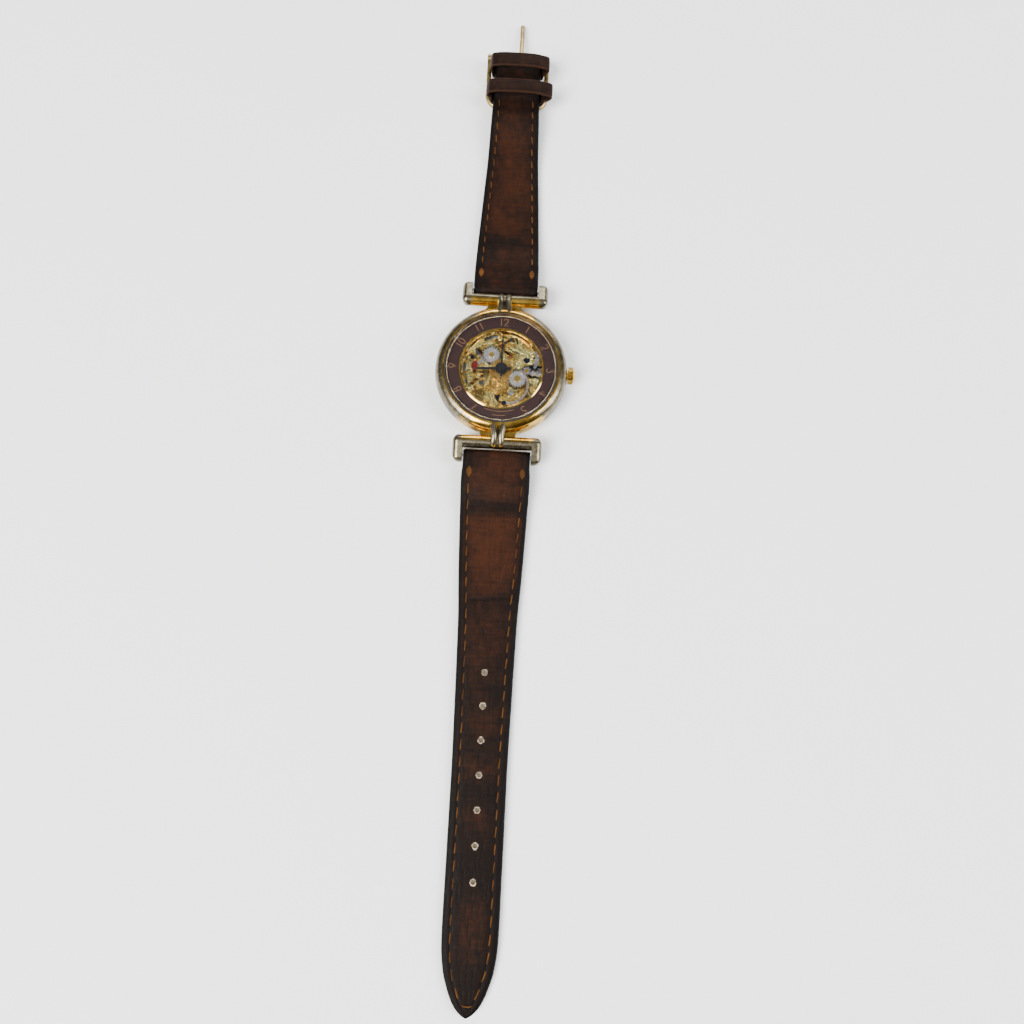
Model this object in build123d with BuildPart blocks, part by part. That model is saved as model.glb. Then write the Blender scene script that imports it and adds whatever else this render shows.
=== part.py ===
from build123d import *
from math import atan2, cos, degrees, radians, sin
import os

# Hand-wound skeleton wristwatch with a dial-side escapement, bar lugs and a leather strap.
# Millimetres. The origin is the centre of the case back's rest face. +Z points up to the
# crystal, +X to the winding crown and +Y to the buckle end of the strap.

# ---- case ----
CASE_RADIUS = 15.75
CASE_BOTTOM = 0.7
CASE_EQUATOR = 3.3
CASE_TOP = 4.6
CASE_BORE = 13.0
SPIGOT_RADIUS = 14.6
SPIGOT_TOP = 5.2
BACK_RECESS_RADIUS = 13.9
BACK_RECESS_TOP = 1.75
BACK_RADIUS = 13.85
BACK_TOP = 1.35
BACK_WINDOW = 10.7
BACK_GLASS_RADIUS = 11.15
BACK_GLASS_FLOOR = 0.35
BACK_GLASS_TOP = 1.15
BACK_NOTCHES = 6
BEZEL_LIP = 13.5
BEZEL_TOP = 6.95
CRYSTAL_RADIUS = 13.25
CRYSTAL_EDGE_BOTTOM = 6.62
CRYSTAL_EDGE_TOP = 7.05
CRYSTAL_TOP = 8.2
CRYSTAL_UNDERSIDE = 7.25

# ---- dial ----
DIAL_BOTTOM = 5.45
DIAL_TOP = 5.85
DIAL_OUTER = 13.4
DIAL_INNER = 10.15
INNER_RING_RADIUS = 9.5
INNER_RING_TOP = 6.1
REHAUT_INNER = 12.95
REHAUT_TOP = 6.6
REHAUT_FLUTES = 110

# ---- lugs and spring bars ----
LUG_BAR_Y = 17.8
LUG_BAR_Z = 4.3
LUG_BAR_RADIUS = 1.5
LUG_ARM_INNER = 8.05
LUG_ARM_OUTER = 10.35
LUG_ARM_END_Y = 21.25
LUG_ARM_END_Z = 3.45
LUG_ARM_END_RADIUS = 1.35
LUG_ARM_ROUND = 1.2
LUG_CORNER = 1.8
SPRING_BAR_Y = 20.95
SPRING_BAR_Z = 3.4
SPRING_BAR_RADIUS = 0.75
SPRING_BAR_PIN = 0.4
RIB_WIDTH = 1.68
RIB_SPACING = 0.86
RIB_RADIUS = 0.8
NECK_BOTTOM = 3.0
NECK_TOP = 4.9

# ---- movement levels ----
MOVEMENT_RADIUS = 11.5
RATCHET_LEVEL = 1.5
RATCHET_THICKNESS = 0.35
BRIDGE_BOTTOM = 1.9
BRIDGE_TOP = 2.4
PLATE_BOTTOM = 4.0
PLATE_TOP = 4.6
DIAL_SIDE_LEVEL = 4.75
HOUR_WHEEL_LEVEL = 5.1
STEM_Z = 3.2

# ---- wheel positions ----
CENTRE = (0.0, 0.0)
BARREL = (2.574, -5.519)
CROWN_WHEEL = (6.690, 0.0)
THIRD = (1.980, 3.430)
FOURTH = (-0.260, 5.990)
ESCAPE = (-2.500, 3.600)
BALANCE = (-6.350, 0.500)
SETTING = (3.900, -2.100)
SMALL_SETTING = (6.042, 0.0)
MINUTE_WHEEL = (-0.3655, -3.179)
PALLET_DISTANCE = 2.62
PALLET_FOOT = (-7.0, 3.0)

# ---- wheel trains: teeth and modules ----
BARREL_TEETH, CENTRE_PINION_TEETH, BARREL_MODULE = 72, 12, 0.145
CENTRE_TEETH, THIRD_PINION_TEETH, CENTRE_MODULE = 64, 8, 0.11
THIRD_TEETH, FOURTH_PINION_TEETH, THIRD_MODULE = 60, 8, 0.10
FOURTH_TEETH, ESCAPE_PINION_TEETH, FOURTH_MODULE = 70, 7, 0.085
CANNON_TEETH, MINUTE_TEETH, MINUTE_MODULE = 8, 24, 0.20
MINUTE_PINION_TEETH, HOUR_TEETH, HOUR_MODULE = 10, 40, 0.128
SETTING_TEETH, SMALL_SETTING_TEETH = 20, 10
SMALL_DRUM_TEETH, SMALL_DRUM_MODULE = 8, 0.12
RATCHET_TEETH, CROWN_TEETH, RATCHET_MODULE = 54, 27, 0.17
WINDING_TEETH = 16
ESCAPE_TEETH = 20
ESCAPE_TIP = 2.28

# ---- hands ----
MINUTE_HAND_LENGTH = 9.0
HOUR_HAND_LENGTH = 6.6
HOUR_HAND_ANGLE = 183.0

# ---- strap ----
STRAP_NOSE = 1.5
STRAP_SETTLE_Y = 37.0
TAIL_END = 140.6
TAIL_HOLES = 7
TAIL_HOLE_FIRST = 70.4
TAIL_HOLE_PITCH = 7.3
TAIL_HOLE_RADIUS = 0.75
BUCKLE_PIN_Y = 86.0
BUCKLE_PIN_Z = 2.95
BUCKLE_PIN_RADIUS = 0.5
BUCKLE_END = 1.3
RAISED_STRAP_BOTTOM = 2.85
RAISED_STRAP_TOP = 5.05
FIXED_KEEPER_Y = 80.7
FREE_KEEPER_Y = 73.0
KEEPER_WIDTH = 3.9
KEEPER_THICKNESS = 0.6
KEEPER_BOTTOM = 2.2
KEEPER_WAIST = 6.7
KEEPER_FLARE_Z = 3.5
FRAME_ROD = 0.6
FRAME_HALF_WIDTH = 7.45
FRAME_EYE = 1.0
FRAME_LENGTH = 12.8
FRAME_CORNER = 3.0
FRAME_SLOPE = 9.4
PRONG_LENGTH = 12.5
PRONG_RADIUS = 0.58
PRONG_X = 0.65
PRONG_SLOPE = 10.3


def polar(radius, angle, centre=CENTRE):
    """Point at a radius and an angle in degrees from a centre."""
    return (
        centre[0] + radius * cos(radians(angle)),
        centre[1] + radius * sin(radians(angle)),
    )


def bearing(start, end):
    """Direction in degrees from one point to another."""
    return degrees(atan2(end[1] - start[1], end[0] - start[0]))


def meshing_phase(direction, phase, teeth, next_teeth):
    """Phase of a wheel whose tooth space faces the tooth of the wheel that it meshes with."""
    offset = (phase - direction) * teeth / 360.0
    return direction + 180.0 + (0.5 - offset) * 360.0 / next_teeth


def tooth_points(teeth, module, phase=0.0):
    """Outline of a spur wheel centred on the origin, one tooth centred on the phase angle."""
    pitch = 360.0 / teeth
    pitch_radius = module * teeth / 2
    corners = (
        (pitch_radius - 1.15 * module, -0.25),
        (pitch_radius, -0.19),
        (pitch_radius + 0.75 * module, -0.10),
        (pitch_radius + 0.75 * module, 0.10),
        (pitch_radius, 0.19),
        (pitch_radius - 1.15 * module, 0.25),
    )
    return [
        polar(radius, phase + (tooth + share) * pitch)
        for tooth in range(teeth)
        for radius, share in corners
    ]


def toothed_disc(centre, level, thickness, teeth, module, phase=0.0):
    """Toothed disc added to the part under construction."""
    with BuildSketch(Plane((centre[0], centre[1], level))) as disc:
        with BuildLine():
            Polyline(*tooth_points(teeth, module, phase), close=True)
        make_face()
    extrude(disc.sketch, amount=thickness)


def column(centre, bottom, top, radius, mode=Mode.ADD):
    """Upright cylinder, added or cut."""
    with BuildSketch(Plane((centre[0], centre[1], bottom))) as section:
        Circle(radius)
    extrude(section.sketch, amount=top - bottom, mode=mode)


def tube(centre, bottom, top, outer, inner):
    """Upright tube added to the part under construction."""
    with BuildSketch(Plane((centre[0], centre[1], bottom))) as section:
        Circle(outer)
        Circle(inner, mode=Mode.SUBTRACT)
    extrude(section.sketch, amount=top - bottom)


def turned(*points):
    """Solid of revolution about Z from corner points given as (radius, height)."""
    with BuildSketch(Plane.XZ) as section:
        with BuildLine():
            Polyline(*points, close=True)
        make_face()
    revolve(section.sketch, axis=Axis.Z)


def crossings(centre, bottom, top, hub, rim, count, arm, phase=0.0):
    """Cuts the openings between the arms of a wheel."""
    with BuildSketch(Plane((centre[0], centre[1], bottom))) as openings:
        Circle(rim)
        Circle(hub, mode=Mode.SUBTRACT)
        with PolarLocations(0, count, start_angle=phase, angular_range=360):
            Rectangle(rim * 2, arm, align=(Align.MIN, Align.CENTER), mode=Mode.SUBTRACT)
    extrude(openings.sketch, amount=top - bottom, mode=Mode.SUBTRACT)


def hull_plate(circles, bottom, top):
    """Plate whose outline is the hull of circles given as (x, y, radius)."""
    with BuildSketch(Plane.XY.offset(bottom)) as plate:
        with BuildLine():
            for x, y, radius in circles:
                CenterArc((x, y), radius, 0, 360)
        make_hull()
    extrude(plate.sketch, amount=top - bottom)


def spiral_strip(centre, level, height, inner, outer, turns, thickness, phase=0.0):
    """Flat spiral spring added to the part under construction."""
    steps = int(turns * 20)
    edges = ([], [])
    for step in range(steps + 1):
        middle = inner + (outer - inner) * step / steps
        for side, edge in zip((-0.5, 0.5), edges):
            edge.append(polar(middle + side * thickness, phase + 360.0 * turns * step / steps))
    with BuildSketch(Plane((centre[0], centre[1], level))) as strip:
        with BuildLine():
            Polyline(*edges[0], *reversed(edges[1]), close=True)
        make_face()
    extrude(strip.sketch, amount=height)


def slotted_screw(centre, level, head_radius, head_height, direction=1):
    """Cheese-head screw whose head stands on a surface, with a short shank through it."""
    head_end = level + direction * head_height
    column(centre, min(level, head_end), max(level, head_end), head_radius)
    slot_depth = head_height * 0.45
    slot_bottom = head_end - slot_depth if direction > 0 else head_end
    with BuildSketch(Plane((centre[0], centre[1], slot_bottom))) as slot:
        Rectangle(head_radius * 2.2, head_radius * 0.32, rotation=35)
    extrude(slot.sketch, amount=slot_depth, mode=Mode.SUBTRACT)


def save(builder, name):
    """Labels a finished piece and writes its STEP file."""
    builder.part.label = name
    export_step(builder.part, f"parts/{name}.step")


os.makedirs("parts", exist_ok=True)

# =====================================================================================
# Case
# =====================================================================================
with BuildPart() as mid_case:
    with BuildSketch(Plane.XZ):
        with BuildLine():
            Polyline((14.5, CASE_BOTTOM), (BACK_RECESS_RADIUS, CASE_BOTTOM),
                     (BACK_RECESS_RADIUS, BACK_RECESS_TOP), (CASE_BORE, BACK_RECESS_TOP),
                     (CASE_BORE, SPIGOT_TOP), (SPIGOT_RADIUS, SPIGOT_TOP),
                     (SPIGOT_RADIUS, CASE_TOP), (15.55, CASE_TOP))
            ThreePointArc((15.55, CASE_TOP), (CASE_RADIUS, CASE_EQUATOR), (15.6, 2.2))
            ThreePointArc((15.6, 2.2), (15.25, 1.3), (14.5, CASE_BOTTOM))
        make_face()
    revolve(axis=Axis.Z)
    with BuildSketch(Plane.YZ.offset(CASE_BORE - 1)):
        with Locations((0, STEM_Z)):
            Circle(1.1)
    extrude(amount=4, mode=Mode.SUBTRACT)
save(mid_case, "mid_case")

with BuildPart() as bezel:
    with BuildSketch(Plane.XZ):
        with BuildLine():
            Polyline((15.55, CASE_TOP), (SPIGOT_RADIUS + 0.02, CASE_TOP),
                     (SPIGOT_RADIUS + 0.02, SPIGOT_TOP + 0.05), (BEZEL_LIP, SPIGOT_TOP + 0.05),
                     (BEZEL_LIP, BEZEL_TOP - 0.15), (13.65, BEZEL_TOP))
            ThreePointArc((13.65, BEZEL_TOP), (15.05, 6.2), (15.55, CASE_TOP))
        make_face()
    revolve(axis=Axis.Z)
save(bezel, "bezel")


def dome_radius(edge_height, top_height):
    """Radius of the sphere through the crystal's edge and its highest point."""
    rise = top_height - edge_height
    return (CRYSTAL_RADIUS ** 2 + rise ** 2) / (2 * rise)


outer_dome = dome_radius(CRYSTAL_EDGE_TOP, CRYSTAL_TOP)
inner_dome = dome_radius(CRYSTAL_EDGE_BOTTOM, CRYSTAL_UNDERSIDE)
with BuildPart() as crystal:
    column(CENTRE, CRYSTAL_EDGE_BOTTOM, CRYSTAL_TOP, CRYSTAL_RADIUS)
    with Locations((0, 0, CRYSTAL_TOP - outer_dome)):
        Sphere(outer_dome, mode=Mode.INTERSECT)
    with Locations((0, 0, CRYSTAL_UNDERSIDE - inner_dome)):
        Sphere(inner_dome, mode=Mode.SUBTRACT)
save(crystal, "crystal")

with BuildPart() as gaskets:
    tube(CENTRE, CRYSTAL_EDGE_BOTTOM, BEZEL_TOP - 0.1, BEZEL_LIP - 0.01, CRYSTAL_RADIUS + 0.01)
    tube(CENTRE, BACK_TOP, BACK_RECESS_TOP, BACK_RADIUS - 0.1, CASE_BORE + 0.2)
save(gaskets, "gaskets")

with BuildPart() as case_back:
    turned((BACK_WINDOW, 0), (13.35, 0), (BACK_RADIUS, 0.5), (BACK_RADIUS, BACK_TOP),
           (BACK_GLASS_RADIUS + 0.02, BACK_TOP), (BACK_GLASS_RADIUS + 0.02, BACK_GLASS_FLOOR),
           (BACK_WINDOW, BACK_GLASS_FLOOR))
    with BuildSketch(Plane.XY):
        with PolarLocations(BACK_RADIUS - 0.5, BACK_NOTCHES):
            Rectangle(1.3, 1.6)
    extrude(amount=0.35, mode=Mode.SUBTRACT)
save(case_back, "case_back")

with BuildPart() as back_glass:
    column(CENTRE, BACK_GLASS_FLOOR, BACK_GLASS_TOP, BACK_GLASS_RADIUS)
    column(CENTRE, 0, BACK_GLASS_FLOOR, BACK_WINDOW - 0.03)
save(back_glass, "back_glass")

with BuildPart() as movement_ring:
    tube(CENTRE, BACK_RECESS_TOP + 0.1, DIAL_BOTTOM, CASE_BORE - 0.05, MOVEMENT_RADIUS + 0.05)
    with BuildSketch(Plane.YZ.offset(MOVEMENT_RADIUS - 1)):
        with Locations((0, STEM_Z)):
            Circle(0.8)
        with Locations((0.6, DIAL_BOTTOM)):
            Rectangle(4.4, 1.9)
    extrude(amount=3.0, mode=Mode.SUBTRACT)
save(movement_ring, "movement_ring")


# =====================================================================================
# Lugs: two bar staples, their ribbed centre links and the spring bars
# =====================================================================================
def lug_bar_solid(side):
    """Bar with two rounded arms that hold the spring bar, on the +Y or -Y side."""
    with BuildPart() as staple:
        with BuildSketch(Plane.YZ.offset(-LUG_ARM_INNER - 0.3)):
            with Locations((side * LUG_BAR_Y, LUG_BAR_Z)):
                Circle(LUG_BAR_RADIUS)
        extrude(amount=2 * LUG_ARM_INNER + 0.6)
        with BuildSketch(Plane.YZ.offset(LUG_ARM_INNER)) as arm:
            with BuildLine():
                CenterArc((side * LUG_BAR_Y, LUG_BAR_Z), LUG_BAR_RADIUS, 0, 360)
                CenterArc((side * LUG_ARM_END_Y, LUG_ARM_END_Z), LUG_ARM_END_RADIUS, 0, 360)
            make_hull()
        extrude(amount=LUG_ARM_OUTER - LUG_ARM_INNER)
        fillet(staple.faces().sort_by(Axis.X)[-1].edges(), radius=LUG_ARM_ROUND)
        mirror(about=Plane.YZ)
        inner_y = LUG_BAR_Y - LUG_BAR_RADIUS
        outer_y = LUG_ARM_END_Y + LUG_ARM_END_RADIUS
        with BuildSketch(Plane.XY):
            with Locations((0, side * (inner_y + outer_y) / 2)):
                RectangleRounded(2 * LUG_ARM_OUTER, outer_y - inner_y, LUG_CORNER)
        extrude(amount=LUG_BAR_Z + 2 * LUG_BAR_RADIUS, mode=Mode.INTERSECT)
        with BuildSketch(Plane.YZ.offset(-LUG_ARM_INNER - 1.0)):
            with Locations((side * SPRING_BAR_Y, SPRING_BAR_Z)):
                Circle(SPRING_BAR_PIN + 0.03)
        extrude(amount=2 * LUG_ARM_INNER + 2.0, mode=Mode.SUBTRACT)
    return staple


lug_bar_12 = lug_bar_solid(1)
save(lug_bar_12, "lug_bar_12")
lug_bar_6 = lug_bar_solid(-1)
save(lug_bar_6, "lug_bar_6")

with BuildPart() as lug_links:
    for side in (1, -1):
        with BuildSketch(Plane.YZ.offset(-RIB_WIDTH + 0.25)):
            with BuildLine():
                Spline((side * 13.9, 6.2), (side * 15.8, 6.2), (side * 17.6, 5.95),
                       (side * 18.75, 5.1), (side * 19.2, 4.15))
                Polyline((side * 19.2, 4.15), (side * 17.8, 4.3), (side * 17.8, 2.95),
                         (side * 16.4, 2.6), (side * 14.6, 2.6), (side * 13.9, 6.2))
            make_face()
        extrude(amount=2 * RIB_WIDTH - 0.5)
        with BuildSketch(Plane.XY.offset(NECK_BOTTOM)):
            with BuildLine():
                for end in (1, -1):
                    Spline((end * 5.3, side * 14.8), (end * 4.1, side * 15.9),
                           (end * 4.4, side * LUG_BAR_Y), tangents=((-end, side * 0.25), (end, side)))
                Line((-5.3, side * 14.8), (5.3, side * 14.8))
                Line((-4.4, side * LUG_BAR_Y), (4.4, side * LUG_BAR_Y))
            make_face()
        extrude(amount=NECK_TOP - NECK_BOTTOM)
        for middle in (-RIB_SPACING, RIB_SPACING):
            with BuildLine(Plane.YZ.offset(middle)) as rib_path:
                Spline((side * 13.2, 6.15), (side * 15.8, 6.15), (side * 17.5, 5.75),
                       (side * 18.55, 4.85), (side * 18.62, 4.3), tangents=((side, 0), (0, -1)))
            with BuildSketch(Plane(origin=rib_path.line @ 0, z_dir=rib_path.line % 0)):
                Circle(RIB_RADIUS)
            sweep()
        with BuildSketch(Plane.YZ.offset(-6)):
            with Locations((side * LUG_BAR_Y, LUG_BAR_Z)):
                Circle(LUG_BAR_RADIUS + 0.01)
        extrude(amount=12, mode=Mode.SUBTRACT)
    with BuildSketch(Plane.XZ):
        with BuildLine():
            Polyline((0, 2.0), (15.2, 2.0), (15.62, 2.2))
            ThreePointArc((15.62, 2.2), (CASE_RADIUS + 0.01, CASE_EQUATOR), (15.57, CASE_TOP))
            ThreePointArc((15.57, CASE_TOP), (15.07, 6.21), (13.65, BEZEL_TOP + 0.01))
            Polyline((13.65, BEZEL_TOP + 0.01), (13.4, 7.4), (0, 7.4), (0, 2.0))
        make_face()
    revolve(axis=Axis.Z, mode=Mode.SUBTRACT)
save(lug_links, "lug_links")

with BuildPart() as spring_bars:
    for side in (1, -1):
        for radius, half_length in ((SPRING_BAR_RADIUS, 7.75), (SPRING_BAR_PIN, 8.95)):
            with BuildSketch(Plane.YZ.offset(-half_length)):
                with Locations((side * SPRING_BAR_Y, SPRING_BAR_Z)):
                    Circle(radius)
            extrude(amount=2 * half_length)
save(spring_bars, "spring_bars")

# =====================================================================================
# Dial side: chapter ring, inner ring, fluted rehaut ring and hands
# =====================================================================================
with BuildPart() as chapter_ring:
    tube(CENTRE, DIAL_BOTTOM, DIAL_TOP, DIAL_OUTER, DIAL_INNER)
    for angle in (62.0, 242.0):
        column(polar(10.8, angle), PLATE_TOP + 0.05, DIAL_BOTTOM, 0.35)
save(chapter_ring, "chapter_ring")

with BuildPart() as inner_ring:
    turned((INNER_RING_RADIUS, DIAL_BOTTOM), (DIAL_INNER - 0.02, DIAL_BOTTOM),
           (DIAL_INNER - 0.02, DIAL_TOP + 0.1), (9.9, INNER_RING_TOP),
           (9.7, INNER_RING_TOP), (INNER_RING_RADIUS, DIAL_TOP))
save(inner_ring, "inner_ring")

with BuildPart() as rehaut_ring:
    with BuildSketch(Plane.XY.offset(DIAL_TOP)):
        Circle(DIAL_OUTER + 0.05)
        with BuildLine():
            Polyline(*[polar(REHAUT_INNER + 0.2 * (step % 2), step * 180.0 / REHAUT_FLUTES)
                       for step in range(2 * REHAUT_FLUTES)], close=True)
        make_face(mode=Mode.SUBTRACT)
    extrude(amount=REHAUT_TOP - DIAL_TOP)
save(rehaut_ring, "rehaut_ring")

with BuildPart() as minute_hand:
    with BuildSketch(Plane.XY.offset(6.15)):
        Circle(1.05)
        with BuildLine():
            Polyline((-0.22, -2.2), (-0.16, MINUTE_HAND_LENGTH - 1.2), (0, MINUTE_HAND_LENGTH),
                     (0.16, MINUTE_HAND_LENGTH - 1.2), (0.22, -2.2), close=True)
        make_face()
        Circle(0.68, mode=Mode.SUBTRACT)
    extrude(amount=0.13)
save(minute_hand, "minute_hand")

with BuildPart() as hour_hand:
    with BuildSketch(Plane((0, 0, 5.72), x_dir=(*polar(1, HOUR_HAND_ANGLE), 0))):
        Circle(1.45)
        with BuildLine():
            Polyline((-2.3, -0.3), (HOUR_HAND_LENGTH - 1.2, -0.24), (HOUR_HAND_LENGTH, 0),
                     (HOUR_HAND_LENGTH - 1.2, 0.24), (-2.3, 0.3), close=True)
        make_face()
        Circle(0.96, mode=Mode.SUBTRACT)
    extrude(amount=0.15)
save(hour_hand, "hour_hand")

# =====================================================================================
# Motion work on the dial side
# =====================================================================================
cannon_phase = 0.0
minute_direction = bearing(CENTRE, MINUTE_WHEEL)
minute_phase = meshing_phase(minute_direction, cannon_phase, CANNON_TEETH, MINUTE_TEETH)
setting_direction = bearing(MINUTE_WHEEL, SETTING)
setting_phase = meshing_phase(setting_direction, minute_phase, MINUTE_TEETH, SETTING_TEETH)
small_direction = bearing(SETTING, SMALL_SETTING)
small_phase = meshing_phase(small_direction, setting_phase, SETTING_TEETH, SMALL_SETTING_TEETH)
hour_phase = meshing_phase(minute_direction + 180, 0.0, MINUTE_PINION_TEETH, HOUR_TEETH)

with BuildPart() as cannon_pinion:
    toothed_disc(CENTRE, DIAL_SIDE_LEVEL, 0.25, CANNON_TEETH, MINUTE_MODULE, cannon_phase)
    column(CENTRE, DIAL_SIDE_LEVEL + 0.25, 6.5, 0.65)
    column(CENTRE, DIAL_SIDE_LEVEL, 6.3, 0.43, Mode.SUBTRACT)
save(cannon_pinion, "cannon_pinion")

with BuildPart() as hour_wheel:
    toothed_disc(CENTRE, HOUR_WHEEL_LEVEL, 0.2, HOUR_TEETH, HOUR_MODULE, hour_phase)
    column(CENTRE, HOUR_WHEEL_LEVEL, 5.95, 0.93)
    column(CENTRE, HOUR_WHEEL_LEVEL, 5.95, 0.70, Mode.SUBTRACT)
save(hour_wheel, "hour_wheel")

with BuildPart() as minute_wheel:
    toothed_disc(MINUTE_WHEEL, DIAL_SIDE_LEVEL, 0.25, MINUTE_TEETH, MINUTE_MODULE, minute_phase)
    toothed_disc(MINUTE_WHEEL, DIAL_SIDE_LEVEL + 0.25, 0.38, MINUTE_PINION_TEETH, HOUR_MODULE)
    crossings(MINUTE_WHEEL, DIAL_SIDE_LEVEL, DIAL_SIDE_LEVEL + 0.25, 0.85, 1.85, 5, 0.3)
    column(MINUTE_WHEEL, DIAL_SIDE_LEVEL, 5.4, 0.3, Mode.SUBTRACT)
save(minute_wheel, "minute_wheel")

with BuildPart() as setting_wheel:
    toothed_disc(SETTING, DIAL_SIDE_LEVEL, 0.25, SETTING_TEETH, MINUTE_MODULE, setting_phase)
    column(SETTING, DIAL_SIDE_LEVEL, 5.0, 0.5, Mode.SUBTRACT)
save(setting_wheel, "setting_wheel")

with BuildPart() as small_setting_wheel:
    toothed_disc(SMALL_SETTING, DIAL_SIDE_LEVEL, 0.25, SMALL_SETTING_TEETH, MINUTE_MODULE,
                 small_phase)
    toothed_disc(SMALL_SETTING, PLATE_BOTTOM + 0.05, DIAL_SIDE_LEVEL - PLATE_BOTTOM - 0.05,
                 SMALL_DRUM_TEETH, SMALL_DRUM_MODULE)
    column(SMALL_SETTING, PLATE_BOTTOM, 5.0, 0.33, Mode.SUBTRACT)
save(small_setting_wheel, "small_setting_wheel")

with BuildPart() as wheel_studs:
    column(SETTING, PLATE_TOP, 5.02, 0.46)
    column(SETTING, 5.02, 5.14, 0.8)
    column(SMALL_SETTING, PLATE_BOTTOM, 5.02, 0.29)
    column(SMALL_SETTING, 5.02, 5.12, 0.5)
    column(MINUTE_WHEEL, PLATE_TOP, 5.4, 0.26)
    column(MINUTE_WHEEL, 5.4, 5.5, 0.42)
save(wheel_studs, "wheel_studs")

# =====================================================================================
# Main plate and bridges
# =====================================================================================
pallet_direction = bearing(ESCAPE, BALANCE)
PALLET = polar(PALLET_DISTANCE, pallet_direction, ESCAPE)
PILLARS_BARREL = ((-4.6, -7.6), (9.3, -3.3), (8.3, 4.4))
PILLARS_TRAIN = ((4.6, 8.2), (-5.6, 7.4))
PILLAR_BALANCE = (-7.2, -4.9)
PLATE_SCREWS = ((5.9, 2.8), (-0.5, -6.6), PALLET_FOOT, (1.05, -8.35))

with BuildPart() as main_plate:
    column(CENTRE, PLATE_BOTTOM, PLATE_TOP, MOVEMENT_RADIUS)
    for x, y in PILLARS_BARREL + PILLARS_TRAIN + (PILLAR_BALANCE,):
        column((x, y), BRIDGE_TOP, PLATE_BOTTOM, 1.15)
    with BuildSketch(Plane.YZ.offset(5.6)):
        with Locations((0, (STEM_Z - 0.75 + PLATE_BOTTOM) / 2)):
            Rectangle(1.7, PLATE_BOTTOM - STEM_Z + 0.75)
    extrude(amount=0.7)
    with BuildSketch(Plane.YZ.offset(10.9)):
        with Locations((0, (STEM_Z - 0.9 + PLATE_BOTTOM) / 2)):
            Rectangle(2.2, PLATE_BOTTOM - STEM_Z + 0.9)
    extrude(amount=0.5)
    with BuildSketch(Plane.XY.offset(PLATE_BOTTOM)):
        Circle(0.95)
        for x, y, radius in ((*THIRD, 0.45), (*FOURTH, 0.45), (*ESCAPE, 0.45), (*BALANCE, 0.55),
                             (*PALLET, 0.4), (*BARREL, 0.62), (-5.5, 4.35, 0.85),
                             (*SMALL_SETTING, 0.66),
                             (5.9, 2.8, 0.75), (-0.5, -6.6, 0.5)):
            with Locations((x, y)):
                Circle(radius)
        with Locations((-4.45, -2.6)):
            SlotOverall(2.9, 1.25, rotation=82)
        with Locations((-1.4, 1.2)):
            SlotOverall(2.2, 0.9, rotation=140)
        with Locations((-6.3, -3.1)):
            SlotOverall(2.4, 0.9, rotation=50)
        SlotArc(CenterArc((0, 0), 8.75, 163, 38), 0.75)
        SlotArc(CenterArc((2.0, 5.9), 1.75, 70, 190), 0.7)
        SlotArc(CenterArc((*BARREL,), 3.6, 195, 80), 0.8)
        SlotArc(CenterArc((*BARREL,), 3.6, -60, 50), 0.8)
        SlotArc(CenterArc((0, 0), 8.6, 100, 25), 0.8)
        with Locations((8.15, 0)):
            Rectangle(3.2, 3.3)
    extrude(amount=PLATE_TOP - PLATE_BOTTOM, mode=Mode.SUBTRACT)
    with BuildSketch(Plane.XY.offset(STEM_Z)):
        with Locations((10.78, 0)):
            Rectangle(1.5, 0.9)
    extrude(amount=PLATE_TOP - STEM_Z, mode=Mode.SUBTRACT)
    with BuildSketch(Plane.YZ.offset(5.0)):
        with Locations((0, STEM_Z)):
            Circle(0.39)
    extrude(amount=1.5, mode=Mode.SUBTRACT)
    with BuildSketch(Plane.YZ.offset(10.8)):
        with Locations((0, STEM_Z)):
            Circle(0.6)
    extrude(amount=1.0, mode=Mode.SUBTRACT)
save(main_plate, "main_plate")

with BuildPart() as barrel_bridge:
    hull_plate([(*BARREL, 4.9), (*PILLARS_BARREL[0], 1.5)], BRIDGE_BOTTOM, BRIDGE_TOP)
    hull_plate([(*BARREL, 3.0), (*PILLARS_BARREL[1], 1.5), (6.2, -1.2, 1.3)],
               BRIDGE_BOTTOM, BRIDGE_TOP)
    hull_plate([(*PILLARS_BARREL[1], 1.5), (*PILLARS_BARREL[2], 1.4), (*CROWN_WHEEL, 1.7)],
               BRIDGE_BOTTOM, BRIDGE_TOP)
    column(BARREL, BRIDGE_BOTTOM, BRIDGE_TOP, 0.63, Mode.SUBTRACT)
    column(CENTRE, BRIDGE_BOTTOM, BRIDGE_TOP, 1.75, Mode.SUBTRACT)
    with BuildSketch(Plane.XY.offset(BRIDGE_BOTTOM)):
        with Locations((9.2, 0)):
            Rectangle(1.4, 2.9)
        SlotArc(CenterArc((*BARREL,), 3.3, 100, 70), 0.9)
        SlotArc(CenterArc((*BARREL,), 3.3, 220, 90), 0.9)
    extrude(amount=BRIDGE_TOP - BRIDGE_BOTTOM, mode=Mode.SUBTRACT)
    with BuildSketch(Plane.XY.offset(BRIDGE_BOTTOM + 0.2)):
        with Locations((7.6, 0)):
            Rectangle(2.6, 2.2)
    extrude(amount=BRIDGE_TOP - BRIDGE_BOTTOM, mode=Mode.SUBTRACT)
    column(CROWN_WHEEL, RATCHET_LEVEL - 0.02, BRIDGE_BOTTOM, 0.55)
save(barrel_bridge, "barrel_bridge")

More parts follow.
